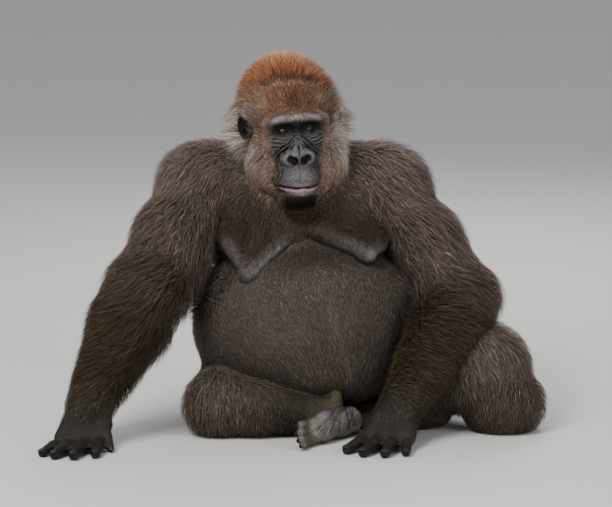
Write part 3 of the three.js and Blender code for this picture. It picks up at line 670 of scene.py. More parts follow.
# %% [markdown]
# ## Lines of the face
#
# Wrinkles, folds and lips are too fine for balls. They are drawn as lines on the front of the face:
# each one says how far the skin is raised or sunk near it. Blender could do this by sculpting or by a
# bump map, but real relief also shows in the outline and in low light.

# %% The face's creases
MOUTH_HALF_WIDTH, MOUTH_HEIGHT, MOUTH_LIFT, MOUTH_SLANT = 50.0, -124.0, 7.5, 0.05
LIP_THICKNESS = 13.0  # of the lower lip in the middle
CREASES = [  # points (x, z) on the animal's left side, width and depth; mirrored on its right
    ([(6, -11), (19, -22), (36, -37)], 1.7, 3.4),
    ([(9, -10), (30, -19), (55, -12)], 1.3, 2.4),
    ([(13, -15), (34, -27), (58, -20)], 1.3, 2.6),
    ([(18, -22), (38, -34), (58, -30)], 1.3, 2.4),
    ([(11, -22), (22, -34), (32, -49)], 1.4, 2.4),
    ([(9, -29), (15, -41), (23, -53)], 1.3, 1.8),
    ([(28, -31), (42, -42), (53, -51)], 1.3, 2.1),
    ([(34, -44), (44, -52), (51, -63)], 1.3, 1.9),
    ([(46, -9), (53, -15), (60, -20)], 1.2, 1.4),
    ([(48, -1), (56, -3), (63, -8)], 1.2, 1.2),
    ([(53, -30), (57, -44), (53, -60)], 1.5, 2.0),
    ([(40, -50), (45, -66), (43, -84)], 1.7, 2.2),
    ([(34, -80), (40, -94), (47, -108)], 1.7, 1.8),
    ([(43, -84), (50, -98), (53, -112)], 1.8, 1.8),
    ([(5, 36), (6, 28), (4, 16)], 1.6, 1.3),
    ([(0, 6), (7, 5), (12, 2)], 1.3, 1.4),
    ([(0, -1), (7, -2), (11, -5)], 1.3, 1.4),
    ([(0, -8), (8, -10), (12, -14)], 1.3, 1.4),
    ([(0, -16), (8, -19), (13, -24)], 1.2, 1.2),
    ([(18, 42), (34, 40), (54, 33)], 2.0, 1.4),
]


def line_distance(x, z, path):
    distance = np.full(len(x), 1e9)
    for (ax, az), (bx, bz) in zip(path, path[1:]):
        dx, dz = bx - ax, bz - az
        t = np.clip(((x - ax) * dx + (z - az) * dz) / (dx * dx + dz * dz), 0, 1)
        distance = np.minimum(distance, np.hypot(x - ax - t * dx, z - az - t * dz))
    return distance


print("creases on each half of the face:", len(CREASES))

# %% Coordinates on the face


def face_middle(z):
    """Where the middle of the face is at each height, as the nose and mouth are shifted."""
    return np.interp(z, (-110, -64, 0), (MOUTH_SHIFT, NOSE_SHIFT, 0))


def on_face(points):
    """The distance from the face's middle, and the depth and height in the head."""
    x, y, z = to_head(points).T
    return np.abs(x - face_middle(z)), y, z


def on_mouth(points):
    """Height over the mouth's line, and 1 in the middle of the mouth to 0 at its corners."""
    x, _, z = to_head(points).T
    x = x - MOUTH_SHIFT
    share = np.clip(np.abs(x) / MOUTH_HALF_WIDTH, 0, 1.2)
    return z - MOUTH_HEIGHT - MOUTH_LIFT * share ** 2 + MOUTH_SLANT * x, 1 - share ** 2


print("the mouth's line is", round(float(on_mouth(EYES_MIDDLE[None])[0][0])), "mm under the eyes")

# %% Relief of the face


def face_relief(points):
    """How far the skin stands out from the field, in millimetres."""
    side, y, z = on_face(points)
    relief = np.zeros(len(side))
    x = to_head(points)[:, 0]
    bent, waved = side + 1.5 * np.sin(z / 6 + np.sign(x) * 1.4), z + 1.3 * np.sin(x / 5)
    for path, width, depth in CREASES:
        distance = line_distance(bent, waved, path)
        relief -= depth * np.exp(-(distance / width) ** 2)
        relief += 0.35 * depth * np.exp(-((distance - 2.2 * width) / (1.3 * width)) ** 2)
    groove = line_distance(side, z, [(0, -33), (0, -55)])
    relief -= 4.6 * np.exp(-(groove / 1.7) ** 2)
    philtrum = line_distance(side, z, [(0, -76), (0, -112)])
    relief -= 0.7 * np.exp(-(philtrum / 2.0) ** 2)
    muzzle = smooth_step(-z, 66, 76) * (1 - smooth_step(-z, 108, 118))
    relief += 0.45 * muzzle * np.sin(x / 1.3 + 2 * np.sin(z / 3.1)) * np.sin(z / 1.7 + 2 * np.sin(x / 4.3))
    pad = line_distance(side, z, [(9, -54), (20, -58)])
    relief += 2.4 * (1 - smooth_step(pad, 11, 18))
    relief -= 1.8 * np.exp(-((pad - 19.5) / 2.0) ** 2) * smooth_step(z, -80, -66) * smooth_step(side, 8, 16)
    over, lens = on_mouth(points)
    across = smooth_step(lens, -0.12, 0.16)
    lip = LIP_THICKNESS * np.clip(lens, 0.12, 1)
    relief -= across * (6 + 6 * np.clip(lens, 0, 1)) * np.exp(-(over / 2.1) ** 2)
    relief += across * 1.0 * np.exp(-((over - 5.5) / 4.0) ** 2)
    relief += across * 4.4 * np.clip(lens + 0.15, 0, 1) * np.exp(-((over + 0.55 * lip) / (0.5 * lip)) ** 2)
    pleats = np.sin(side * 1.15 + 0.6 * np.sin(side * 0.35))
    relief += across * 0.35 * pleats * np.exp(-((np.abs(over) - 8) / 5.5) ** 2)
    front = 1 - smooth_step(y, 20, 45)
    return relief * front * (1 - smooth_step(side, 62, 74))


print("the groove under the nose's bridge is sunk by",
      round(-float(face_relief(from_head([[face_middle(-45), -40, -45]]))[0]), 1), "mm")

# %% [markdown]
# ## Creases of palms, soles and toes
#
# A naked sole folds across wherever the foot bends, and so does each toe at its joints. The grooves are
# drawn in the foot's own frame.

# %% Sole lines
SOLE_CREASES = [  # points (forwards, inwards)
    ((30, -18), (44, 4), (46, 28)), ((62, -24), (70, 2), (62, 24)), ((84, 30), (98, 8), (120, -14)),
    ((104, 26), (118, 12), (142, -2)), ((58, 26), (70, 20), (80, 6)), ((12, -16), (20, 2), (18, 20)),
    ((50, 18), (40, -4), (34, -22)), ((76, 24), (90, 4), (100, -18)), ((92, 28), (106, 14), (128, -8)),
    ((22, 14), (32, -2), (36, -20)),
]
BIG_TOE_CREASES = (37, 50)  # how far inwards the big toe folds
BIG_TOE_PLACE = 66  # how far forwards the big toe stands


def on_foot(points, side):
    """Each point's place forwards, inwards and downwards in the foot's own slanting frame."""
    axes = np.array([FOOT_FORE[side], FOOT_INNER[side], SOLE[side]])
    return ((points - np.array(HEEL[side], float)) @ np.linalg.inv(axes)).T


def sole_relief(points):
    relief = np.zeros(len(points))
    for side in SIDES:
        forward, inward, down = on_foot(points, side)
        sole = smooth_step(down, 2, 12) * (1 - smooth_step(np.abs(down), 40, 50))
        sole *= smooth_step(forward, -35, -20) * (1 - smooth_step(forward, 190, 210))
        for path in SOLE_CREASES:
            relief -= 2.2 * sole * np.exp(-(line_distance(forward, inward, path) / 2.0) ** 2)
        toe = sole * smooth_step(inward, 28, 33) * (1 - smooth_step(np.abs(forward - BIG_TOE_PLACE), 18, 26))
        for place in BIG_TOE_CREASES:
            relief -= 2.0 * toe * np.exp(-((inward - place) / 1.8) ** 2)
    return relief


def skin_height(points):
    return face_relief(points) + sole_relief(points)


print("creases of each sole:", len(SOLE_CREASES))

# %% [markdown]
# ## The skin as one mesh
#
# First every form is put in as a rough closed ball or cone with bmesh. A voxel remesh then joins
# all of them into one even skin, and each of its points slides along the field's slope until it lies on
# the true surface. Only where detail needs it, on the face, hands, feet and ears, is the mesh cut finer.
# A boolean union of the forms would keep their hard seams, and metaballs can't be told how widely to melt.

# %% Helpers for meshes
SKIN_PARTS = [skull, brow, neck, torso, [shell for shell, cup, fold in ears.values()]]
PAIRED = (breasts, upper_arms, forearms, hands, thighs, shins, feet)
SKIN_PARTS += [group[side] for side in SIDES for group in PAIRED]
SKIN_PARTS += [digit["limbs"] for digit in digits]


def to_object(points, turned):
    if turned is not None:
        axes, middle = turned
        points = points @ axes.T + middle
    return metres(points)


def ready_shape(create, **sizes):
    """The corners and faces of one bmesh shape, to be copied many times."""
    bm = bmesh.new()
    create(bm, **sizes)
    shape = ([vert.co[:] for vert in bm.verts], [[v.index for v in face.verts] for face in bm.faces])
    bm.free()
    return np.array(shape[0]), shape[1]


def joined_mesh(name, shapes):
    """One mesh of many shapes, each given as its corners and its faces."""
    corners, faces, start = [], [], 0
    for places, sides in shapes:
        corners.append(places)
        faces += [[start + i for i in side] for side in sides]
        start += len(places)
    mesh = bpy.data.meshes.new(name)
    mesh.from_pydata(np.concatenate(corners).tolist(), [], faces)
    mesh.update()
    return mesh


def shade_smooth(mesh):
    for polygon in mesh.polygons:
        polygon.use_smooth = True


def add_object(name, mesh):
    made = bpy.data.objects.new(name, mesh)
    bpy.context.scene.collection.objects.link(made)
    return made


print("forms of the skin:", sum(len(group) for group in SKIN_PARTS))

# %% Rough forms joined
VOXEL = 9.0 * MM
unit_ball = ready_shape(bmesh.ops.create_uvsphere, u_segments=20, v_segments=12, radius=1)
unit_cone = ready_shape(
    bmesh.ops.create_cone, cap_ends=True, segments=20, radius1=1, radius2=1, depth=1,
)


def rough_ball(centre, radii, turned):
    return to_object(unit_ball[0] * radii + centre, turned), unit_ball[1]


def rough_limb(form):
    along = form.end - form.start
    corners = unit_cone[0].copy()
    radius = np.where(corners[:, 2] < 0, *form.radii)
    corners *= np.stack([radius, radius, np.full(len(radius), np.linalg.norm(along))], axis=1)
    turn = np.array(Vector(along).to_track_quat("Z", "Y").to_matrix())
    corners = corners @ turn.T + (form.start + form.end) / 2
    return to_object(corners, form.turned), unit_cone[1]


def rough_body():
    shapes = []
    for form in (form for group in SKIN_PARTS for form in group):
        if isinstance(form, Ball):
            shapes.append(rough_ball(form.centre, form.radii, form.turned))
        else:
            shapes.append(rough_limb(form))
            shapes.append(rough_ball(form.start, form.radii[0], form.turned))
            shapes.append(rough_ball(form.end, form.radii[1], form.turned))
    return add_object("skin", joined_mesh("skin", shapes))


def apply_modifier(piece, modifier):
    bpy.context.view_layer.objects.active = piece
    with bpy.context.temp_override(object=piece, active_object=piece):
        bpy.ops.object.modifier_apply(modifier=modifier.name)


skin = rough_body()
remesh = skin.modifiers.new("join", "REMESH")
remesh.mode = "VOXEL"
remesh.voxel_size = VOXEL
apply_modifier(skin, remesh)
print("joined skin:", len(skin.data.vertices), "points")

# %% The skin slides onto the field
SLOPE_STEP = 0.4  # millimetres between the points that measure the slope
FLOOR_GAP = 0.6  # millimetres that the skin keeps off the floor


def mesh_points(mesh):
    points = np.empty(len(mesh.vertices) * 3)
    mesh.vertices.foreach_get("co", points)
    return points.reshape(-1, 3)


def set_points(mesh, points):
    mesh.vertices.foreach_set("co", np.asarray(points, float).ravel())
    mesh.update()


def slope_of(points, height):
    steps = [body_field(points + SLOPE_STEP * axis) for axis in np.eye(3)]
    return (np.array(steps).T - height[:, None]) / SLOPE_STEP


def slide(mesh, rounds, relief=None, most=9.0, which=None):
    """Moves the points onto the field's surface, or to the height of the relief over it."""
    points = design(mesh_points(mesh))
    moving = np.ones(len(points), bool) if which is None else which
    for _ in range(rounds):
        active = points[moving]
        height = body_field(active)
        slope = slope_of(active, height)
        steep = np.maximum((slope ** 2).sum(1), 0.15)
        error = height - (relief(active) if relief else 0)
        step = -(error / steep)[:, None] * slope
        size = np.linalg.norm(step, axis=1, keepdims=True)
        points[moving] = active + step * np.minimum(1, most / np.maximum(size, 1e-9))
    points[:, 2] = np.maximum(points[:, 2], FLOOR_GAP)
    set_points(mesh, metres(points))
    return points


points = slide(skin.data, 3)
print("skin off the field by", round(float(np.abs(body_field(points)).mean()), 2), "mm on average")

# %% Finer mesh where it is needed


def detail_zones(points):
    """How many times the mesh is halved at each point."""
    q = to_head(points)
    side = np.abs(q[:, 0])
    level = np.zeros(len(points), int)
    face = (side < 76) & (q[:, 1] < 60) & (q[:, 2] > -178) & (q[:, 2] < 62)
    level[face] = 2
    middle = (side < 52) & (q[:, 1] < 24) & (q[:, 2] > -152) & (q[:, 2] < 16)
    level[middle] = 3
    for turned in (ear_frame(-1), ear_frame(1)):
        level[np.linalg.norm(points - turned[1], axis=1) < 46] = 2
    parts = parts_of_body(points)
    for name, distance in parts.items():
        if name.startswith(("hand", "foot", "breast")) or name == "digits":
            level[(distance < 6) & (level == 0)] = 1
    return level


def refine(mesh, rounds):
    """Halves the edges in the zones again and again, and slides the new points onto the field."""
    for wanted in range(1, rounds + 1):
        bm = bmesh.new()
        bm.from_mesh(mesh)
        bm.faces.ensure_lookup_table()
        centres = design([face.calc_center_median() for face in bm.faces])
        level = detail_zones(centres)
        edges = {edge for face, n in zip(bm.faces, level) if n >= wanted for edge in face.edges}
        in_order = sorted(edges, key=lambda edge: edge.index)
        bmesh.ops.subdivide_edges(bm, edges=in_order, cuts=1, use_grid_fill=True)
        odd = [face for face in bm.faces if len(face.verts) > 4]
        bmesh.ops.triangulate(bm, faces=odd)
        bm.to_mesh(mesh)
        bm.free()
        points = design(mesh_points(mesh))
        slide(mesh, 1, which=detail_zones(points) >= wanted)


refine(skin.data, 3)
points = design(mesh_points(skin.data))
detailed = detail_zones(points) > 0
points = slide(skin.data, 4, skin_height, most=3.0, which=detailed)
shade_smooth(skin.data)
print("skin:", len(skin.data.vertices), "points,",
      sum(len(p.vertices) - 2 for p in skin.data.polygons), "triangles")
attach(skin, "root")
kept_nodes = ("eye_right", "eye_left", "tongue")
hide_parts(*[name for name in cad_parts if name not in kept_nodes])

# %% [markdown]
# ## Where the coat grows
#
# Each part of the body has its own coat: long and loose on the arms and back, short on the belly and
# crown, none on the face, palms, soles and digits. Every point of the skin asks how near each part is,
# so that length, lie and colour change gradually from one part to the next. Painted weight maps would
# do as well, but rules in the animal's own terms stay true when the pose changes.

# %% Shares of the parts
BLENDING = 12.0  # millimetres over which one part's coat passes into the next


def shares(parts):
    """How much each part of the body owns each point; the shares add up to one."""
    distances = np.array(list(parts.values()))
    weights = np.exp(-(distances - distances.min(0)) / BLENDING)
    weights /= weights.sum(0)
    return dict(zip(parts, weights))


def along_limb(points, start, end):
    """From 0 at a limb's start to 1 at its end."""
    start, end = np.array(start, float), np.array(end, float)
    return np.clip((points - start) @ (end - start) / ((end - start) @ (end - start)), 0, 1)


print("parts with a coat of their own:", len(parts_of_body(EYES_MIDDLE[None])))

# %% Where the face and ears are bare
CREASE_HEIGHT, CREASE_FALL = 106.0, 0.0036  # of the arched crease under the crown, and how it falls off
FACE_EDGE = [  # the outline of the bare face on the animal's left, from the chin to the brow
    (0, -140), (32, -136), (49, -126), (54, -106), (53, -84), (51, -62), (56, -42), (61, -20), (65, 0),
    (66, 20), (56, 31), (40, 37), (0, 39),
]


def past_face(points):
    """How far each point lies outside the bare face, in millimetres, with a ragged edge."""
    side, y, z = on_face(points)
    x_at, z_at = np.array(FACE_EDGE, float).T
    inside = side < np.interp(z, z_at, x_at, left=0, right=0)
    distance = line_distance(side, z, FACE_EDGE) * np.where(inside, -1, 1)
    distance += 2.5 * np.sin(z / 4.1 + 2 * np.sin(side / 5.3)) * np.sin(side / 3.7)
    return np.maximum(distance, y - np.interp(z, (-70, -10), (54, 30)))


def bare_face(points):
    """1 on the naked face, 0 where the hair of the head has begun."""
    return 1 - smooth_step(past_face(points), -9, 7)


def over_crease(q):
    """Height in millimetres over the arched crease that parts the forehead from the crown."""
    return q[:, 2] - CREASE_HEIGHT + CREASE_FALL * (q[:, 0] - CROWN_SHIFT) ** 2


def above_crease(q):
    """0 on the forehead, 1 on the crown; sharp in front, very gradual behind the temples."""
    behind = smooth_step(q[:, 1], 20, 90)
    return smooth_step(over_crease(q), -3 - 60 * behind, 7 + 30 * behind)


def bare_ears(points):
    """1 on the right ear and in the cup of the left one, whose shell is hidden by hair."""
    naked = np.zeros(len(points))
    for side, (shell, cup, fold) in ears.items():
        within = near(points, ear_frame(side)[1], 60)
        inside = shell.outside(points) if side < 0 else cup.outside(points) + 3
        naked = np.maximum(naked, smooth_step(within, 0, 0.6) * (1 - smooth_step(inside, 1.5, 5)))
    return naked


print("from the edge of the bare face to between the eyes:", past_face(EYES_MIDDLE[None]).round(1), "mm")

# %% Lie of the hair
CROWN_TURN = np.array([0.0, 92, 0])  # the hair of the head turns about this line from ear to ear
BELLY_WHORL = 95.0  # the hair of the belly runs together towards this line, low between the legs
ARMPITS = [((-226, -115, 322), 106), ((246, -120, 284), 92)]  # where the hair of arm and flank meets


def head_lie(points):
    """Away from the face, over the crown, and down behind it and on the cheeks."""
    q = to_head(points)
    lie = unit(q - np.array([0, -20, -70.0]))
    turned = q - CROWN_TURN
    over = np.stack([0.25 * turned[:, 0], turned[:, 2], -turned[:, 1]], axis=1)
    top = smooth_step(q[:, 2], 0, 40)[:, None]
    lie = lie * (1 - top) + unit(over) * top
    low = smooth_step(-q[:, 2], 0, 60)[:, None]
    lie = lie * (1 - 0.6 * low) + low * np.array([0, 0.35, -0.8])
    return lie @ HEAD_AXES.T


def torso_lie(points, back):
    """Down the back and over the shoulders, and towards one line on the belly."""
    x, y, z = points.T
    over_shoulder = smooth_step(z, 470, 560) * smooth_step(np.abs(x + 20), 60, 160)
    down = np.stack([
        0.9 * over_shoulder * np.sign(x + 20) + 0.1 * np.sin(x / 45), 0.25 * over_shoulder, -np.ones(len(x)),
    ], axis=1)
    belly = (1 - back) * (1 - smooth_step(z, 240, 420))
    down[:, 0] += belly * (BELLY_WHORL - x) / 150
    return down


def over_left_ear(q):
    """1 where the hair in front of the left ear grows long enough to cover it."""
    high = smooth_step(q[:, 2], -55, -15) * (1 - smooth_step(q[:, 2], 55, 95))
    return smooth_step(q[:, 0], 52, 78) * smooth_step(q[:, 1], 0, 45) * high


def standing(points):
    """How much the hair stands off the skin; most on the ruff behind the ears and on the crown."""
    q = to_head(points)
    head = near(points, from_head([CROWN_SHIFT, 80, 0]), 240)
    ruff = smooth_step(np.abs(q[:, 0] - CROWN_SHIFT), 50, 90) * smooth_step(q[:, 1], 30, 100)
    ruff = np.maximum(ruff, over_left_ear(q))
    armpits = sum(near(points, place, reach) for place, reach in ARMPITS)
    return 1 + head * (0.8 * ruff + 0.35 * above_crease(q)) + 0.9 * armpits


print("the hair between the eyes would lie towards", head_lie(EYES_MIDDLE[None]).round(2))

# %% Length and spacing of the hair
DEPTH = {"back": 30, "belly": 8, "ruff": 38, "neck": 24, "upper_arm": 26, "forearm": 28, "leg": 16}
WRIST_DEPTH, HAND_DEPTH, ANKLE_DEPTH = 13, 5, 6


def head_depth(points):
    """Short on the forehead, longer on crown and cheeks, longest on the ruff behind the ears."""
    q = to_head(points)
    side = np.abs(q[:, 0] - CROWN_SHIFT)
    ruff = smooth_step(side, 50, 90) * smooth_step(q[:, 1], 20, 90) * (1 - smooth_step(q[:, 2], 70, 130))
    ruff = np.maximum(ruff, over_left_ear(q))
    cheek = smooth_step(side, 46, 66) * smooth_step(-q[:, 2], 0, 40)
    hair = 7.5 + 12 * above_crease(q) + 8 * cheek
    hair += (DEPTH["ruff"] - hair) * ruff
    return hair * (0.3 + 0.7 * smooth_step(past_face(points), 0, 32))


def round_the_ears(points, depth):
    """Fills the nape and the armpits, and clears the hair round the ears."""
    q = to_head(points)
    depth = depth * (1 - 0.3 * smooth_step(-q[:, 0], 70, 90) * (1 - smooth_step(np.abs(q[:, 2]), 90, 120)))
    depth += 16 * near(points, from_head([CROWN_SHIFT, 185, 40]), 130)
    for place, reach in ARMPITS:
        depth += 15 * near(points, place, reach)
    before_ear = 1 - smooth_step(q[:, 1], EAR_PLACE[1] - 8, EAR_PLACE[1] + 8)
    in_front = near(points, ear_frame(-1)[1], 84) * before_ear
    depth *= 1 - 0.42 * in_front
    return depth * (1 - 0.75 * (1 - smooth_step(ears[1][0].outside(points), 2, 8)))


def blade_of_hair(parts, points):
    """Depth of the coat in millimetres, its lie, and how densely it grows from 0 to 1."""
    share = shares(parts)
    depth, density = np.zeros(len(points)), np.zeros(len(points))
    lie = np.zeros((len(points), 3))

    def add(name, its_depth, its_lie, its_density=1.0):
        nonlocal depth, density, lie
        depth += share[name] * its_depth
        density += share[name] * its_density
        lie += share[name][:, None] * unit(np.broadcast_to(its_lie, (len(points), 3)))

    back = smooth_step(points[:, 1], -90, 90)
    add("torso", DEPTH["belly"] + (DEPTH["back"] - DEPTH["belly"]) * back, torso_lie(points, back))
    add("neck", DEPTH["neck"] * (0.55 + 0.45 * back), (0, 0.35, -1))
    add("head", head_depth(points), head_lie(points))
    depth = round_the_ears(points, depth)
    for side, outward in (("right", -1), ("left", 1)):
        upper = np.subtract(ELBOW[side], SHOULDER[side])
        lower = np.subtract(WRIST[side], ELBOW[side])
        palm = np.subtract(KNUCKLES[side], WRIST[side])
        down_arm = along_limb(points, ELBOW[side], WRIST[side])
        down_hand = along_limb(points, WRIST[side], KNUCKLES[side])
        add(f"upper_arm_{side}", DEPTH["upper_arm"], unit(upper) + (0.35 * outward, 0.1, -0.2))
        forearm = DEPTH["forearm"] + (WRIST_DEPTH - DEPTH["forearm"]) * down_arm ** 2
        across = np.array([outward * 1.0, 0.25, -0.25]) + 0.35 * unit(lower)
        add(f"forearm_{side}", forearm, across)
        add(f"hand_{side}", HAND_DEPTH, unit(palm) + (0.5 * outward, 0, 0),
            (1 - smooth_step(down_hand, 0.55, 0.95)) * 0.9)
        thigh = np.subtract(KNEE[side], HIP[side])
        shin = np.subtract(ANKLE[side], KNEE[side])
        down_shin = along_limb(points, KNEE[side], ANKLE[side])
        add(f"thigh_{side}", DEPTH["leg"], unit(thigh) * 0.6 + (0, 0, -0.9))
        shin_depth = DEPTH["leg"] + (ANKLE_DEPTH - DEPTH["leg"]) * down_shin
        add(f"shin_{side}", shin_depth, unit(shin) * 0.35 + (0, 0, -1))
        hidden = smooth_step(over_edge(points, side), 14, 46)
        add(f"breast_{side}", 4 + 4 * hidden, (0.2 * outward, 0, -1), 0.2 + 0.8 * hidden)
        forward, inward, down = on_foot(points, side)
        instep = (1 - smooth_step(down, -16, -2)) * (1 - smooth_step(forward, 100, 140))
        add(f"foot_{side}", HAND_DEPTH, unit(FOOT_FORE[side]) - (0, 0, 0.3), instep)
    naked = np.maximum(bare_face(points), bare_ears(points))
    density *= 1 - naked
    return depth * (1 - 0.5 * naked), lie, density


print("longest hair by design:", max(DEPTH.values()), "mm deep")

# %% [markdown]
# ## Markings and painted shade
#
# The crown is chestnut red, the cheeks greyer, the rest brown-black, palest on the belly and on the
# shoulders, whose tops carry a painted sheen. The naked face is grey, lighter on the nose and muzzle and
# on the brow bar, which is partly painted light. Sockets, nostrils, creases and the skin under the coat
# are darkened with painted shade. Skin and hair take their colour from the same rules, so a thin coat
# never shows a strange colour below it.

# %% Tables of colours
HAIR = {
    "torso": (0.052, 0.040, 0.033), "belly": (0.088, 0.070, 0.058), "chest": (0.042, 0.029, 0.018),
    "neck": (0.060, 0.042, 0.032), "shoulder": (0.125, 0.090, 0.077), "upper_arm": (0.092, 0.068, 0.056),
    "forearm": (0.037, 0.026, 0.016), "hand": (0.022, 0.017, 0.012), "thigh": (0.120, 0.093, 0.077),
    "shin": (0.072, 0.054, 0.041), "crown": (0.205, 0.082, 0.036), "brow": (0.138, 0.069, 0.038),
    "crown_top_lit": (0.46, 0.225, 0.118), "cheek": (0.215, 0.156, 0.128), "temple": (0.180, 0.118, 0.084),
    "chin": (0.007, 0.005, 0.003), "jowl": (0.300, 0.208, 0.162), "fringe": (0.42, 0.37, 0.33),
    "crease": (0.022, 0.014, 0.010),
}
BARE = {
    "face": (0.030, 0.028, 0.026), "brow": (0.195, 0.170, 0.166), "nose": (0.069, 0.065, 0.065),
    "muzzle": (0.092, 0.082, 0.085), "lips": (0.170, 0.122, 0.127), "ear": (0.034, 0.031, 0.031),
    "hand": (0.013, 0.011, 0.009), "breast": (0.058, 0.049, 0.046), "fold": (0.180, 0.158, 0.158),
    "sole": (0.128, 0.113, 0.108), "foot": (0.045, 0.038, 0.022), "deep_shade": (0.007, 0.006, 0.004),
    "hollow": (0.0015, 0.001, 0.001),
}
print("named colours:", len(HAIR), "of hair and", len(BARE), "of bare skin")

# %% Mixing colours


def dab(colours, new, amount):
    """Mixes a colour in, by an amount from 0 to 1 at each point."""
    amount = np.clip(amount, 0, 1)[:, None]
    return colours * (1 - amount) + np.array(new) * amount


def dab_all(colours, new, amount):
    """As dab, where the new colour differs from point to point."""
    return colours * (1 - amount[:, None]) + new * amount[:, None]


def spot(x, z, at_x, at_z, reach_x, reach_z):
    """A soft round spot on the face, 1 in its middle."""
    return np.exp(-((x - at_x) / reach_x) ** 2 - ((z - at_z) / reach_z) ** 2)


print("half crown, half cheek:", dab(np.array([HAIR["crown"]]), HAIR["cheek"], np.array([0.5])).round(3))

# %% Colours of the body's hair


def shade_under_breast(points, parts, side):
    """1 in the crease where a breast's lower edge lies on the belly, where shade is painted."""
    gap = np.maximum(parts[f"breast_{side}"], parts["torso"])
    return np.exp(-(np.maximum(gap, 0) / 3.0) ** 2) * (1 - smooth_step(over_edge(points, side), 4, 20))


def body_hair(points, parts, share):
    """Colours of torso, neck and limbs, painted one over another from the torso outwards."""
    x, y, z = points.T
    colour = np.tile(np.array(HAIR["torso"]), (len(points), 1))
    front = 1 - smooth_step(y, -60, 30)
    colour = dab(colour, HAIR["belly"], front * (1 - smooth_step(z, 330, 400)))
    midline = np.exp(-((x - 44 - 0.3 * (330 - z)) / 8) ** 2)
    midline = midline * smooth_step(z, 90, 130) * (1 - smooth_step(z, 280, 330))
    colour = dab(colour, HAIR["cheek"], 0.3 * front * midline)
    colour = dab(colour, HAIR["chest"], front * smooth_step(z, 350, 420))
    colour = dab(colour, HAIR["neck"], share["neck"])
    for side in SIDES:
        down_arm = along_limb(points, SHOULDER[side], ELBOW[side])
        arm = share[f"upper_arm_{side}"]
        colour = dab(colour, HAIR["upper_arm"], arm)
        # Painted sheen: the hair on top of each shoulder is painted paler, as light falling on it.
        shoulder_sheen = (arm + share["torso"]) * (1 - smooth_step(down_arm, 0.0, 0.45))
        colour = dab(colour, HAIR["shoulder"], shoulder_sheen * near(points, SHOULDER[side], 190))
        for name in ("forearm", "hand", "thigh", "shin"):
            colour = dab(colour, HAIR[name], share[f"{name}_{side}"])
        colour = dab(colour, HAIR["hand"], share[f"foot_{side}"])
        near_ankle = smooth_step(along_limb(points, KNEE[side], ANKLE[side]), 0.35, 0.8)
        colour = dab(colour, HAIR["hand"], 0.8 * share[f"shin_{side}"] * near_ankle)
        # Painted shade: the crease under each breast is darkened with the chin's near-black.
        colour = dab(colour, HAIR["chin"], 0.9 * shade_under_breast(points, parts, side))
    return colour


chest_middle = np.array([CHEST], float)
chest_parts = parts_of_body(chest_middle)
print("hair on the chest:", body_hair(chest_middle, chest_parts, shares(chest_parts)).round(3))

# %% Colours of the head's hair
JOWL_LOW, JOWL_TAPER = -118, 0.84  # below this height the pale jowl narrows, by this much per millimetre


def head_hair(points, q, side):
    """Red crown, paler on top with painted light, over a crease painted dark as shade, grey cheeks, pale
    fringes before the ears and a black chin.
    """
    head = dab(np.tile(np.array(HAIR["brow"]), (len(points), 1)), HAIR["temple"], smooth_step(side, 40, 74))
    fading = 1 - 0.8 * smooth_step(q[:, 1], 60, 190)
    head = dab(head, HAIR["crown"], above_crease(q) * fading)
    # The top of the crown is painted paler: partly its own redder hair, partly painted light from above.
    head = dab(head, HAIR["crown_top_lit"], smooth_step(q[:, 2], 120, 165) * fading)
    over = over_crease(q)
    in_front = (1 - smooth_step(side, 58, 80)) * (1 - smooth_step(q[:, 1], 20, 60))
    # Painted shade: a dark line along the arched crease under the crown.
    head = dab(head, HAIR["crease"], 0.8 * np.exp(-((over - 3) / 4) ** 2) * in_front)
    head = dab(head, HAIR["cheek"], 0.6 * np.exp(-((over + 5) / 3.0) ** 2) * in_front)
    parting = np.exp(-((np.abs(q[:, 0] + 4) - 7) / 8) ** 2) * np.exp(-((q[:, 2] - 66) / 20) ** 4)
    head = dab(head, HAIR["crease"], 0.55 * parting * in_front)
    head = dab(head, HAIR["cheek"], smooth_step(-q[:, 2], 5, 40))
    outer = smooth_step(side, 72, 96) * (1 - smooth_step(q[:, 2], 50, 105))
    outer *= 1 - smooth_step(q[:, 1], 120, 180)
    outer *= np.where(q[:, 0] < 0, smooth_step(q[:, 2], -85, -45), 1)
    head = dab(head, HAIR["fringe"], 0.85 * outer)
    mouth_over, _ = on_mouth(points)
    chin = smooth_step(-mouth_over, 12, 20) * (1 - smooth_step(np.abs(q[:, 0] - MOUTH_SHIFT), 26, 62))
    head = dab(head, HAIR["chin"], chin * (1 - 0.6 * smooth_step(-mouth_over, 36, 60)))
    return dab(head, HAIR["neck"], smooth_step(q[:, 1], 120, 190) * (1 - smooth_step(q[:, 2], 0, 90)))


def hair_colour(points, parts):
    """The body's colours with the head's over them; the pale jowls run on down the neck."""
    share = shares(parts)
    q = to_head(points)
    side = np.abs(q[:, 0] - CROWN_SHIFT)
    jowl = smooth_step(side, 44, 64) * (1 - smooth_step(side, 96, 116)) * (1 - smooth_step(q[:, 1], 90, 140))
    jowl *= smooth_step(-q[:, 2], 50, 90) * (1 - smooth_step(-q[:, 2], 162, 198))
    head = dab(head_hair(points, q, side), HAIR["jowl"], jowl)
    tapering = 1 - smooth_step(side - JOWL_TAPER * (q[:, 2] - JOWL_LOW), 74, 94)
    on_chest = share["torso"] * tapering * (1 - smooth_step(-q[:, 2], 156, 190))
    amount = np.clip(share["head"] + jowl * (share["neck"] + 0.8 * on_chest), 0, 1)
    return dab_all(body_hair(points, parts, share), head, amount)


crown = from_head([CROWN_SHIFT, 80, 150])[None]
print("hair of the crown:", hair_colour(crown, parts_of_body(crown)).round(3))

# %% Colours of the bare face


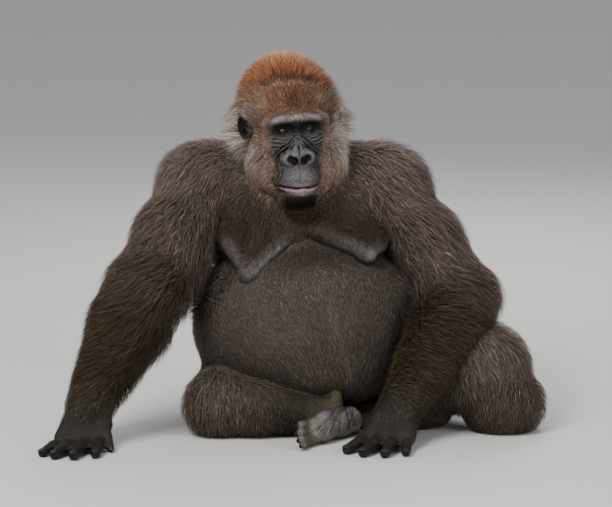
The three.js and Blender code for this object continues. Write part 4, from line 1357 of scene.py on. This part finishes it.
def face_skin(points):
    """Grey-black, with a paler nose, muzzle and lips, a pale brow bar that is partly painted light, and
    near-black painted shade in the sockets, nostrils and mouth.
    """
    side, _, z = on_face(points)
    face = np.tile(np.array(BARE["face"]), (len(points), 1))
    muzzle = smooth_step(-z, 66, 96) * (1 - smooth_step(side + 5 * np.sin(z / 5), 4, 46))
    face = dab(face, BARE["muzzle"], muzzle)
    pad = line_distance(side, z, [(0, -48), (9, -54), (20, -58)])
    face = dab(face, BARE["nose"], 1 - smooth_step(pad, 14, 21))
    face = dab(face, BARE["nose"], 0.5 * spot(side, z, 0, -34, 10, 16))
    # The brow bar is painted pale: partly its own paler skin, partly painted light on the ridge's upper face.
    bar = np.exp(-np.abs((z - 31 + side ** 2 / 400) / 8.5) ** 3) * (1 - smooth_step(side, 46, 66))
    face = dab(face, BARE["brow"], bar * (0.8 + 0.2 * np.sin(side / 6 + z / 4)))
    over, lens = on_mouth(points)
    into_lip = -over / (LIP_THICKNESS * np.clip(lens, 0.1, 1) + 1)
    lip = smooth_step(into_lip, 0.05, 0.3) * (1 - smooth_step(into_lip, 0.85, 1.15))
    face = dab(face, BARE["lips"], lip * smooth_step(lens, 0, 0.2))
    face = dab(face, HAIR["chin"], smooth_step(into_lip, 1.0, 1.35) * (1 - smooth_step(side, 36, 62)))
    under_lid = np.exp(-((side - 30) / 24) ** 4 - ((z + 20) / 12) ** 4)
    face = dab(face, BARE["nose"], 0.38 * under_lid)
    # Painted shade: a near-black band over the eye sockets and between them, where the brow overhangs the
    # eyes.
    shadow = np.exp(-((z - 8) / 14.5) ** 4 - (side / 66) ** 6)
    face = dab(face, BARE["deep_shade"], 0.97 * shadow)
    # Painted shade: the insides of the nostrils are painted near-black.
    into_nostril = np.min([hole.outside(points) for hole in nostrils], axis=0)
    face = dab(face, BARE["hollow"], 1 - smooth_step(into_nostril, 0.4, 1.8))
    # Painted shade: the slit between the lips is painted near-black.
    return dab(face, BARE["hollow"], np.exp(-(over / 2.2) ** 2) * smooth_step(lens, -0.02, 0.1))


print("skin between the eyes:", face_skin(EYES_MIDDLE[None]).round(3))

# %% Colours of ears, breasts and feet


def ear_skin(colour, points):
    """Dark, with a cup painted black as shade and a pale rim on top."""
    colour = dab(colour, BARE["ear"], bare_ears(points))
    into_ear = np.min([forms[1].outside(points) for forms in ears.values()], axis=0)
    # Painted shade: the cup of the ear is painted near-black.
    colour = dab(colour, BARE["hollow"], bare_ears(points) * (1 - smooth_step(into_ear, 0, 3)))
    ear_tip = from_head([-EAR_PLACE[0], EAR_PLACE[1], EAR_PLACE[2] + EAR_HEIGHT / 2])
    return dab(colour, BARE["fold"], bare_ears(points) * near(points, ear_tip, 18))


def breast_skin(colour, points, parts, share, side):
    """A pale fold along the lower edge, towards the middle of the body, and painted shade in the crease under
    it.
    """
    over_fold = over_edge(points, side) + 2.5 * np.sin(points[:, 0] / 2.7)
    skin_shows = share[f"breast_{side}"] * (1 - smooth_step(over_fold, 24, 46))
    colour = dab(colour, BARE["breast"], skin_shows * 1.2)
    outer, inner, nipple = np.array(BREAST_ROOTS[side])[:, 0]
    to_middle = smooth_step((points[:, 0] - nipple) / (inner - nipple), -0.15, 0.35)
    strip = np.exp(-((over_fold - 11) / (10 if side == "right" else 12)) ** 2)
    colour = dab(colour, BARE["fold"], skin_shows * to_middle * strip)
    # Painted shade in the crease under the breast.
    return dab(colour, BARE["deep_shade"], 0.9 * shade_under_breast(points, parts, side))


def foot_skin(colour, points, share, relief, side):
    """The sole is paler than the rest of the foot, and every crease is painted darker as shade."""
    forward, inward, down = on_foot(points, side)
    on_this_foot = near(points, HEEL[side], 470) * (np.abs(down) < 70)
    foot = np.clip(share[f"foot_{side}"] + share["digits"] * on_this_foot, 0, 1)
    colour = dab(colour, BARE["foot"], foot)
    near_toe = 1 - smooth_step(np.abs(forward - BIG_TOE_PLACE), 20, 34)
    sole = smooth_step(down, 2, 16) * (1 - smooth_step(inward + 14 * near_toe, 32, 46))
    colour = dab(colour, BARE["sole"], foot * sole)
    # Painted shade: the sole is darkened in its sunk creases.
    return colour * (1 - foot[:, None] * (1 - np.exp(0.45 * np.clip(relief, -3, 0)))[:, None])


ear_middle = ear_frame(-1)[1][None]
print("skin of the right ear:", ear_skin(np.array([BARE["face"]]), ear_middle).round(3))

# %% Colours of the skin's points


def skin_colour(points, parts, hairy):
    """Bare skin's own colour, the face's creases painted darker as shade and its ridges a little paler as
    painted light, and the hair's colour painted darker as shade where the coat covers it.
    """
    share = shares(parts)
    relief = skin_height(points)
    # Painted shade and light: the face is darkened in its sunk creases and lightened a little where its
    # relief is raised.
    face = face_skin(points) * np.exp(0.5 * np.clip(relief, -3.5, 0.6))[:, None]
    # Painted shade: the skin under the coat is the hair's colour, darkened.
    under_coat = 0.55 * hair_colour(points, parts)
    colour = dab_all(under_coat, face, share["head"] * bare_face(points))
    colour = dab(ear_skin(colour, points), BARE["hand"], share["digits"])
    for side in SIDES:
        colour = dab(colour, BARE["hand"], share[f"hand_{side}"] * (1 - hairy))
        colour = breast_skin(colour, points, parts, share, side)
        colour = foot_skin(colour, points, share, relief, side)
    return colour


mesh = skin.data
points = design(mesh_points(mesh))
parts = parts_of_body(points)
depth, lie, density = blade_of_hair(parts, points)
density *= smooth_step(points[:, 2], 3, 10)
erect = standing(points)
coat_colours = hair_colour(points, parts)
skin_colours = skin_colour(points, parts, density)


def set_colour(mesh, name, colours):
    attribute = mesh.attributes.new(name, "FLOAT_COLOR", "POINT")
    values = np.concatenate([colours, np.ones((len(colours), 1))], axis=1)
    attribute.data.foreach_set("color", values.ravel())


set_colour(mesh, "markings_and_shade", skin_colours)
print("share of the skin under hair:", round(float((density > 0.5).mean()), 2))

# %% [markdown]
# ## An unwrap of the skin
#
# The skin is unwrapped onto a flat map of its own shape, and each tuft gets a tiny patch on it at the
# place where it is rooted. Blender's smart projection cuts the skin into flat islands by itself, which
# is enough, because no picture is ever painted on it.

# %% Unwrapping
bpy.context.view_layer.objects.active = skin
skin.select_set(True)
bpy.ops.object.mode_set(mode="EDIT")
bpy.ops.mesh.select_all(action="SELECT")
bpy.ops.uv.smart_project(angle_limit=math.radians(66), island_margin=0.002)
bpy.ops.object.mode_set(mode="OBJECT")
skin.select_set(False)
mesh = skin.data
unwrap = np.empty(len(mesh.loops) * 2)
mesh.uv_layers.active.data.foreach_get("uv", unwrap)
unwrap = unwrap.reshape(-1, 2)
print("unwrapped", len(mesh.loops), "corners")

# %% [markdown]
# ## Tufts of hair
#
# A tuft is a thin closed blade with three sides. It stands up at its root, bends over, and runs on
# along the lie to a fine point. Its root is sunk in the skin. Particle hair would be quicker to comb, but
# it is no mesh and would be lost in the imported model. Tufts near one another lean towards a shared tip,
# as real hair does, and this is what makes a coat look like a coat and not like a carpet.

# %% Roots
rng = np.random.default_rng(11)
mesh.calc_loop_triangles()
count = len(mesh.loop_triangles)
tri_points, tri_corners = np.empty(count * 3, int), np.empty(count * 3, int)
mesh.loop_triangles.foreach_get("vertices", tri_points)
mesh.loop_triangles.foreach_get("loops", tri_corners)
tri_points, tri_corners = tri_points.reshape(-1, 3), tri_corners.reshape(-1, 3)
skin_normals = np.empty(len(mesh.vertices) * 3)
mesh.vertices.foreach_get("normal", skin_normals)
skin_normals = skin_normals.reshape(-1, 3)
edges = points[tri_points[:, 1:]] - points[tri_points[:, :1]]
areas = np.linalg.norm(np.cross(edges[:, 0], edges[:, 1]), axis=1) / 2


def scatter(per_mm2):
    """Roots over the skin: the triangle of each, and its shares of the triangle's corners."""
    wanted = np.cumsum(areas * per_mm2[tri_points].mean(1))
    total = int(wanted[-1])
    spread = (np.arange(total) + rng.random(total)) * wanted[-1] / total
    picks = np.searchsorted(wanted, spread)
    a, b = rng.random((2, total))
    flip = a + b > 1
    a[flip], b[flip] = 1 - a[flip], 1 - b[flip]
    return picks, np.stack([1 - a - b, a, b], axis=1)


def at_roots(values, picks, share, corners=tri_points):
    """A field of the skin's points, read at the roots."""
    picked = values[corners[picks]]
    return np.einsum("nk,nk...->n...", share, picked)


print("area of the skin:", round(float(areas.sum()) / 1e6, 2), "square metres")

# %% From corners to a mesh of tufts
TUFT_POINTS = 7  # three at the root, three at the bend and the tip
TUFT_FACES = np.array([
    [0, 2, 1], [0, 1, 4], [0, 4, 3], [1, 2, 5], [1, 5, 4],
    [2, 0, 3], [2, 3, 5], [3, 4, 6], [4, 5, 6], [5, 3, 6],
])
# Painted shade deep in the coat: each blade is darker at the root and paler at the tip.
TUFT_SHADE = np.array([0.55, 0.55, 0.55, 0.95, 0.95, 0.95, 1.2])  # dark at the root, pale at the tip
PATCH = 0.0015  # half the width of a tuft's patch on the unwrap
RING = np.array([[math.cos(a), math.sin(a)] for a in (0.5, 2.6, 4.7)])


def build_tufts(name, corners, normal, colour, uv):
    """The normals lean towards the skin's, so that thin blades are lit as one coat."""
    number = len(corners)
    faces = (np.arange(number)[:, None, None] * TUFT_POINTS + TUFT_FACES).reshape(-1)
    mesh = bpy.data.meshes.new(name)
    mesh.vertices.add(number * TUFT_POINTS)
    mesh.vertices.foreach_set("co", metres(corners.reshape(-1, 3)).ravel())
    mesh.loops.add(len(faces))
    mesh.loops.foreach_set("vertex_index", faces)
    mesh.polygons.add(len(faces) // 3)
    mesh.polygons.foreach_set("loop_start", np.arange(0, len(faces), 3))
    mesh.polygons.foreach_set("use_smooth", np.ones(len(faces) // 3, bool))
    patch = np.repeat(uv[:, None], TUFT_POINTS, axis=1)
    patch[:, :3] += RING * PATCH
    patch[:, 3:6] += RING * PATCH * 0.5
    layer = mesh.uv_layers.new(name="OFBake")
    layer.data.foreach_set("uv", patch.reshape(-1, 2)[faces].ravel())
    set_colour(mesh, "markings_and_shade", (colour[:, None] * TUFT_SHADE[:, None]).reshape(-1, 3))
    mesh.update(calc_edges=True)
    own = np.empty(number * TUFT_POINTS * 3)
    mesh.vertices.foreach_get("normal", own)
    soft = unit(own.reshape(-1, 3) * 0.55 + np.repeat(normal, TUFT_POINTS, axis=0) * 0.75)
    mesh.normals_split_custom_set_from_vertices(soft.tolist())
    made = add_object(name, mesh)
    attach(made, "root")
    print(name, number, "tufts,", number * len(TUFT_FACES), "triangles")
    return made


print("points and triangles in a tuft:", TUFT_POINTS, len(TUFT_FACES))

# %% Shaping the tufts
TUFT_SIDES = np.array([[1.0, 0.0], [-1.0, 0.0], [0.0, 0.7]])  # across the lie and out from the skin
SUNK = 1.5  # millimetres that a root sits in the skin
BLADE_LENGTH = 2.05  # of a blade, in depths of the coat, because it lies at a slant
BEND = 0.42  # how far along the blade it bends over
LOWEST = 0.8  # millimetres over the floor


def wander(places):
    """A slow drift of the lie from place to place."""
    x, y, z = places.T
    return np.stack([
        np.sin(y / 31 + 2 * np.sin(z / 47)), np.sin(z / 37 + 2 * np.sin(x / 53)), np.sin(x / 29 + z / 71),
    ], axis=1)


def gather(places, clump):
    """For each root the nearest leader, where one root in every clump is a leader."""
    leaders = rng.permutation(len(places))[: max(8, int(len(places) / clump))]
    tree = KDTree(len(leaders))
    for i, leader in enumerate(leaders):
        tree.insert(places[leader], i)
    tree.balance()
    return leaders[[tree.find(place)[1] for place in places]]


def blade_corners(start, bend, tip, across, normal, thick):
    """Three corners at the root, three at the bend and one at the tip of each blade."""
    corners = np.empty((len(start), TUFT_POINTS, 3))
    for i, (along_side, outwards) in enumerate(TUFT_SIDES):
        offset = (across * along_side + normal * outwards) * thick[:, None]
        corners[:, i] = start + offset
        corners[:, 3 + i] = bend + 0.8 * offset
    corners[:, 6] = tip
    corners[:, :, 2] = np.maximum(corners[:, :, 2], LOWEST)
    return corners


def tufts(name, per_mm2, half_width, rise=0.62, clump=4, tone=0.4, longer=1, own_colour=None):
    """A piece of coat; half_width is in millimetres, and rise says how steeply the blades stand up."""
    picks, share = scatter(per_mm2)
    place = at_roots(points, picks, share)
    normal = unit(at_roots(skin_normals, picks, share))
    reach = at_roots(depth, picks, share)
    way = unit(at_roots(lie, picks, share)) + 0.13 * wander(place)
    way += 0.17 * rng.normal(size=way.shape)
    way = unit(way - (way * normal).sum(1, keepdims=True) * normal)
    thick = half_width * (0.7 + 0.6 * rng.random(len(place)))
    length = longer * reach * BLADE_LENGTH * (0.6 + 0.55 * rng.random(len(place)) ** 0.8)
    lift = (rise * (0.75 + 0.5 * rng.random(len(place))) * at_roots(erect, picks, share))[:, None]
    start = place - normal * SUNK
    first = unit(way + normal * 1.15 * lift / 0.62)
    second = unit(way + normal * (0.36 * lift) + (0, 0, -0.1))
    bend = start + first * (length * BEND)[:, None]
    tip = bend + second * (length * (1 - BEND))[:, None]
    mine = gather(place, clump)
    pull = 0.24 * rng.random(len(place))[:, None]
    tip += pull * (tip[mine] - tip)
    bend += 0.4 * pull * (bend[mine] - bend)
    corners = blade_corners(start, bend, tip, np.cross(way, normal), normal, thick)
    colour = at_roots(coat_colours, picks, share) if own_colour is None else np.array([own_colour])
    shade = np.exp(tone * rng.normal(size=len(place)) + 0.06 * rng.normal(size=len(place))[mine])
    colour = colour * shade[:, None]
    uv = at_roots(unwrap, picks, share, tri_corners)
    return build_tufts(name, corners, normal, colour, uv)


print("length of a blade on the back, in millimetres:", round(BLADE_LENGTH * DEPTH["back"]))

# %% Where each piece of coat grows
share_of = shares(parts)


def zone(*names):
    """How densely hair grows on the named parts, from 0 to 1."""
    return density * np.clip(sum(share_of[name] for name in names), 0, 1)


def every(spacing):
    """Tufts to each square millimetre when they stand this far apart."""
    return 1 / spacing ** 2


head_z, head_y = to_head(points)[:, 2], to_head(points)[:, 1]
high, rear = smooth_step(head_z, 0, 20), smooth_step(head_y, 80, 110)
back_side = smooth_step(points[:, 1], -60, 0)
from_middle, _, face_z = on_face(points)
lip_sides = smooth_step(-face_z, 74, 84) * smooth_step(from_middle, 6, 20)
brow_edge = smooth_step(face_z, 22, 30) * (1 - smooth_step(face_z, 44, 52))
face_rim = smooth_step(past_face(points), -20, -6)
bristles = bare_face(points) * near(points, EYES_MIDDLE + (0, 0, -50), 260)
bristles *= np.maximum(0.35 * lip_sides, np.maximum(1.6 * brow_edge, face_rim))
upper_half = smooth_step(points[:, 2], 300, 340)
head_zone, torso_zone = zone("head"), zone("torso")
jaw_zone = zone("head", "neck") * (1 - high * share_of["head"])
front = 1 - back_side
chest_zone = zone("torso", "breast_left", "breast_right") * front * upper_half
print("share of the skin's points on the back:", round(float((torso_zone * back_side > 0.5).mean()), 2))

# %% The coat, piece by piece
coat = [
    tufts("fur_crown", head_zone * high * (1 - rear) * every(1.75), 0.42, rise=0.6, clump=3, tone=0.45),
    tufts("fur_nape", head_zone * high * rear * every(2.9), 0.6, rise=0.6),
    tufts("fur_cheeks", jaw_zone * every(2.33), 0.46, clump=3, tone=0.45),
    tufts("fur_bristles", bristles * every(2.6), 0.3, clump=1, longer=0.55, own_colour=(0.21, 0.175, 0.165)),
    tufts("fur_back_high", torso_zone * back_side * upper_half * every(4.3), 1.02),
    tufts("fur_back_low", torso_zone * back_side * (1 - upper_half) * every(4.5), 1.03),
    tufts("fur_belly", torso_zone * front * (1 - upper_half) * every(3.55), 0.5, rise=0.45, clump=3,
          tone=0.24, longer=1.2),
    tufts("fur_chest", chest_zone * every(3.5), 0.6),
]
for side in SIDES:
    lower_arm = zone(f"forearm_{side}", f"hand_{side}")
    leg = zone(f"thigh_{side}", f"shin_{side}", f"foot_{side}")
    coat.append(tufts(f"fur_upper_arm_{side}", zone(f"upper_arm_{side}") * every(3.6), 0.72))
    coat.append(tufts(f"fur_forearm_{side}", lower_arm * every(3.3), 0.65))
    coat.append(tufts(f"fur_leg_{side}", leg * every(3.95), 0.63, rise=0.5, clump=3, tone=0.34))
print("tufts in all:", sum(len(piece.data.vertices) for piece in coat) // TUFT_POINTS)

# %% [markdown]
# ## Materials of skin and coat
#
# Both read the markings, with the painted shade in them, stored with their points and vary them with one
# shared group of noise, so that the coat is nowhere one flat colour. The skin's relief of pores and fine
# cracks is a bump.

# %% Shared markings and painted shade


def new_group(name, outputs):
    group = bpy.data.node_groups.new(name, "ShaderNodeTree")
    for label, kind in outputs:
        group.interface.new_socket(name=label, in_out="OUTPUT", socket_type=kind)
    return group, group.nodes, group.links, group.nodes.new("NodeGroupOutput")


def noise(nodes, links, coordinates, scale, detail=3.0, roughness=0.55):
    node = nodes.new("ShaderNodeTexNoise")
    node.inputs["Scale"].default_value = scale
    node.inputs["Detail"].default_value = detail
    node.inputs["Roughness"].default_value = roughness
    links.new(coordinates, node.inputs["Vector"])
    return node.outputs["Fac"]


def span(nodes, links, value, low, high):
    node = nodes.new("ShaderNodeMapRange")
    node.inputs["To Min"].default_value = low
    node.inputs["To Max"].default_value = high
    node.inputs["From Min"].default_value = 0.25
    node.inputs["From Max"].default_value = 0.75
    links.new(value, node.inputs["Value"])
    return node.outputs["Result"]


def markings_and_shade_group():
    group, nodes, links, out = new_group("markings_and_shade", [("Color", "NodeSocketColor")])
    coordinates = nodes.new("ShaderNodeTexCoord").outputs["Object"]
    stored = nodes.new("ShaderNodeAttribute")
    stored.attribute_name = "markings_and_shade"
    broad = span(nodes, links, noise(nodes, links, coordinates, 9.0), 0.82, 1.2)
    fine = span(nodes, links, noise(nodes, links, coordinates, 70.0), 0.85, 1.16)
    speckle = span(nodes, links, noise(nodes, links, coordinates, 240.0), 0.52, 1.62)
    tinted = stored.outputs["Color"]
    for shade in (broad, fine, speckle):
        scaled = nodes.new("ShaderNodeVectorMath")
        scaled.operation = "SCALE"
        links.new(tinted, scaled.inputs[0])
        links.new(shade, scaled.inputs["Scale"])
        tinted = scaled.outputs[0]
    links.new(tinted, out.inputs["Color"])
    return group


def new_material(name):
    material = bpy.data.materials.new(name)
    material.use_nodes = True
    nodes, links = material.node_tree.nodes, material.node_tree.links
    return material, nodes, links, nodes["Principled BSDF"]


def use_group(nodes, group):
    node = nodes.new("ShaderNodeGroup")
    node.node_tree = group
    return node


markings_and_shade = markings_and_shade_group()
print("nodes in the group of markings:", len(markings_and_shade.nodes))

# %% Coat material
fur_material, nodes, links, shader = new_material("coat")
links.new(use_group(nodes, markings_and_shade).outputs["Color"], shader.inputs["Base Color"])
shader.inputs["Roughness"].default_value = 0.7
shader.inputs["Specular IOR Level"].default_value = 0.12
for piece in coat:
    piece.data.materials.append(fur_material)
print("pieces of coat:", len(coat))

# %% Skin material


def relief_group():
    group, nodes, links, out = new_group(
        "skin_relief", [("Height", "NodeSocketFloat"), ("Roughness", "NodeSocketFloat")])
    coordinates = nodes.new("ShaderNodeTexCoord").outputs["Object"]
    cells = nodes.new("ShaderNodeTexVoronoi")
    cells.feature = "DISTANCE_TO_EDGE"
    cells.inputs["Scale"].default_value = 420.0
    links.new(coordinates, cells.inputs["Vector"])
    cracks = nodes.new("ShaderNodeMapRange")
    cracks.inputs["From Max"].default_value = 0.16
    links.new(cells.outputs["Distance"], cracks.inputs["Value"])
    pores = noise(nodes, links, coordinates, 260.0, 4.0)
    height = nodes.new("ShaderNodeMath")
    height.operation = "MULTIPLY_ADD"
    height.inputs[1].default_value = 0.45
    links.new(cracks.outputs["Result"], height.inputs[0])
    links.new(pores, height.inputs[2])
    links.new(height.outputs[0], out.inputs["Height"])
    links.new(span(nodes, links, noise(nodes, links, coordinates, 45.0), 0.42, 0.62), out.inputs["Roughness"])
    return group


skin_material, nodes, links, shader = new_material("skin")
links.new(use_group(nodes, markings_and_shade).outputs["Color"], shader.inputs["Base Color"])
relief = use_group(nodes, relief_group())
links.new(relief.outputs["Roughness"], shader.inputs["Roughness"])
bump = nodes.new("ShaderNodeBump")
shader.inputs["Specular IOR Level"].default_value = 0.2
bump.inputs["Strength"].default_value = 0.7
bump.inputs["Distance"].default_value = 0.0008
links.new(relief.outputs["Height"], bump.inputs["Height"])
links.new(bump.outputs["Normal"], shader.inputs["Normal"])
skin.data.materials.append(skin_material)
print("nodes in the skin's material:", len(nodes))

# %% [markdown]
# ## Eyes
#
# Each eye is a ball with a slight bulge of the cornea in front. A gorilla's iris is amber brown and
# fills nearly all of the opening, and the white is dark brown. The colours are rings about the pupil, told
# by how far each point is from the line of sight.

# %% Eyes
IRIS_RADIUS, PUPIL_RADIUS = 7.4, 2.7
GAZE = unit(np.array(away) @ HEAD_AXES)  # towards the camera, in the head's frame


def eye_ball(name, side):
    bm = bmesh.new()
    bmesh.ops.create_uvsphere(bm, u_segments=48, v_segments=32, radius=EYE_RADIUS)
    turn = Vector(GAZE).to_track_quat("Z", "Y").to_matrix()
    off_axis = []
    for vert in bm.verts:
        spread = math.hypot(vert.co.x, vert.co.y)
        off_axis.append(spread if vert.co.z > 0 else 2 * EYE_RADIUS)
        if vert.co.z > 0 and spread < IRIS_RADIUS:
            vert.co.z += 0.9 * (1 - (spread / IRIS_RADIUS) ** 2)
        vert.co = turn @ vert.co
    mesh = bpy.data.meshes.new(name)
    bm.to_mesh(mesh)
    bm.free()
    centre = np.array([side * EYE_SPACING / 2, EYE_DEPTH, 0])
    set_points(mesh, metres(from_head(mesh_points(mesh) + centre)))
    ring = mesh.attributes.new("ring", "FLOAT", "POINT")
    ring.data.foreach_set("value", off_axis)
    shade_smooth(mesh)
    made = add_object(name, mesh)
    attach(made, "root")
    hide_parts(name)
    return made


def eye_material():
    material, nodes, links, shader = new_material("eye")
    ring = nodes.new("ShaderNodeAttribute")
    ring.attribute_name = "ring"
    share = nodes.new("ShaderNodeMath")
    share.operation = "DIVIDE"
    share.inputs[1].default_value = EYE_RADIUS
    links.new(ring.outputs["Fac"], share.inputs[0])
    ramp = nodes.new("ShaderNodeValToRGB")
    stops = [
        (0.0, (0.002, 0.002, 0.002)), (PUPIL_RADIUS, (0.002, 0.002, 0.002)),
        (PUPIL_RADIUS + 0.5, (0.045, 0.021, 0.006)), (5.6, (0.060, 0.027, 0.007)),
        (IRIS_RADIUS - 0.5, (0.025, 0.012, 0.006)), (IRIS_RADIUS + 0.4, (0.022, 0.015, 0.011)),
        (EYE_RADIUS, (0.03, 0.02, 0.016)),
    ]
    while len(ramp.color_ramp.elements) < len(stops):
        ramp.color_ramp.elements.new(0.5)
    for element, (radius, colour) in zip(ramp.color_ramp.elements, stops):
        element.position = radius / EYE_RADIUS
        element.color = (*colour, 1)
    links.new(share.outputs[0], ramp.inputs["Fac"])
    links.new(ramp.outputs["Color"], shader.inputs["Base Color"])
    shader.inputs["Roughness"].default_value = 0.3
    shader.inputs["Coat Weight"].default_value = 0.12
    shader.inputs["Coat Roughness"].default_value = 0.06
    return material


wet_eye = eye_material()
for name, side in (("eye_right", -1), ("eye_left", 1)):
    eye_ball(name, side).data.materials.append(wet_eye)
print("direction of the gaze in the head's frame:", GAZE.round(2))

# %% [markdown]
# ## Tongue and nails
#
# The tip of the tongue shows between the lips as a small pink spot. Flat dark nails sit on every
# finger and toe.

# %% Tongue
bm = bmesh.new()
bmesh.ops.create_uvsphere(bm, u_segments=24, v_segments=16, radius=1)
tongue_mesh = bpy.data.meshes.new("tongue")
bm.to_mesh(tongue_mesh)
bm.free()
tongue_points = mesh_points(tongue_mesh) * (12, 14, 3.6) + (MOUTH_SHIFT + 5, -36, MOUTH_HEIGHT - 3)
set_points(tongue_mesh, metres(from_head(tongue_points)))
shade_smooth(tongue_mesh)
tongue = add_object("tongue", tongue_mesh)
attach(tongue, "root")
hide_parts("tongue")
tongue_material, nodes, links, shader = new_material("tongue")
shader.inputs["Base Color"].default_value = (0.42, 0.16, 0.16, 1)
shader.inputs["Roughness"].default_value = 0.3
tongue.data.materials.append(tongue_material)
print("points of the tongue:", len(tongue_mesh.vertices))

# %% Nails
nail_shapes = []
small_ball = ready_shape(bmesh.ops.create_uvsphere, u_segments=16, v_segments=10, radius=1)
for digit in digits:
    way = digit["way"]
    out = unit(digit["top"] - (digit["top"] @ way) * way)
    across = np.cross(way, out)
    r = digit["radius"]
    corners = small_ball[0] * (0.70 * r, 0.92 * r, 0.20 * r)
    corners[:, 2] -= 0.35 * corners[:, 0] ** 2 / r
    corners = corners @ np.array([across, way, out]) + digit["tip"] + way * r * 0.32 + out * r * 0.90
    nail_shapes.append((metres(corners), small_ball[1]))
nails = add_object("nails", joined_mesh("nails", nail_shapes))
shade_smooth(nails.data)
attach(nails, "root")
nail_material, nodes, links, shader = new_material("nail")
shader.inputs["Base Color"].default_value = (0.022, 0.019, 0.017, 1)
shader.inputs["Roughness"].default_value = 0.45
shader.inputs["Specular IOR Level"].default_value = 0.3
nails.data.materials.append(nail_material)
print("nails:", len(nail_shapes))

# %% [markdown]
# ## Studio
#
# A pale floor, a large soft lamp above the camera's left, a weaker one on the right, one behind that
# edges the coat with light, and a pale world. The lamps are broad, because small ones would make every
# hair glitter.

# %% Floor and light


def area_light(name, place, size, watts, towards=(0, 0, 0.4)):
    lamp = bpy.data.lights.new(name, "AREA")
    lamp.size, lamp.energy = size, watts
    made = bpy.data.objects.new(name, lamp)
    bpy.context.scene.collection.objects.link(made)
    made.location = place
    made.rotation_euler = (Vector(towards) - Vector(place)).to_track_quat("-Z", "Y").to_euler()


bm = bmesh.new()
bmesh.ops.create_grid(bm, x_segments=1, y_segments=1, size=20)
floor_mesh = bpy.data.meshes.new("floor")
bm.to_mesh(floor_mesh)
bm.free()
floor = add_object("floor", floor_mesh)
floor_material, nodes, links, shader = new_material("floor")
shader.inputs["Base Color"].default_value = (0.62, 0.61, 0.59, 1)
shader.inputs["Roughness"].default_value = 0.9
floor.data.materials.append(floor_material)

area_light("key", (-1.6, -2.4, 3.4), 1.8, 170)
area_light("fill", (2.8, -2.6, 1.6), 2.2, 55)
area_light("rim", (0.8, 2.6, 2.6), 1.6, 60)
world = bpy.data.worlds.new("world")
world.use_nodes = True
world.node_tree.nodes["Background"].inputs["Color"].default_value = (0.80, 0.82, 0.84, 1)
world.node_tree.nodes["Background"].inputs["Strength"].default_value = 0.62
bpy.context.scene.world = world
print("lamps:", len(bpy.data.lights))
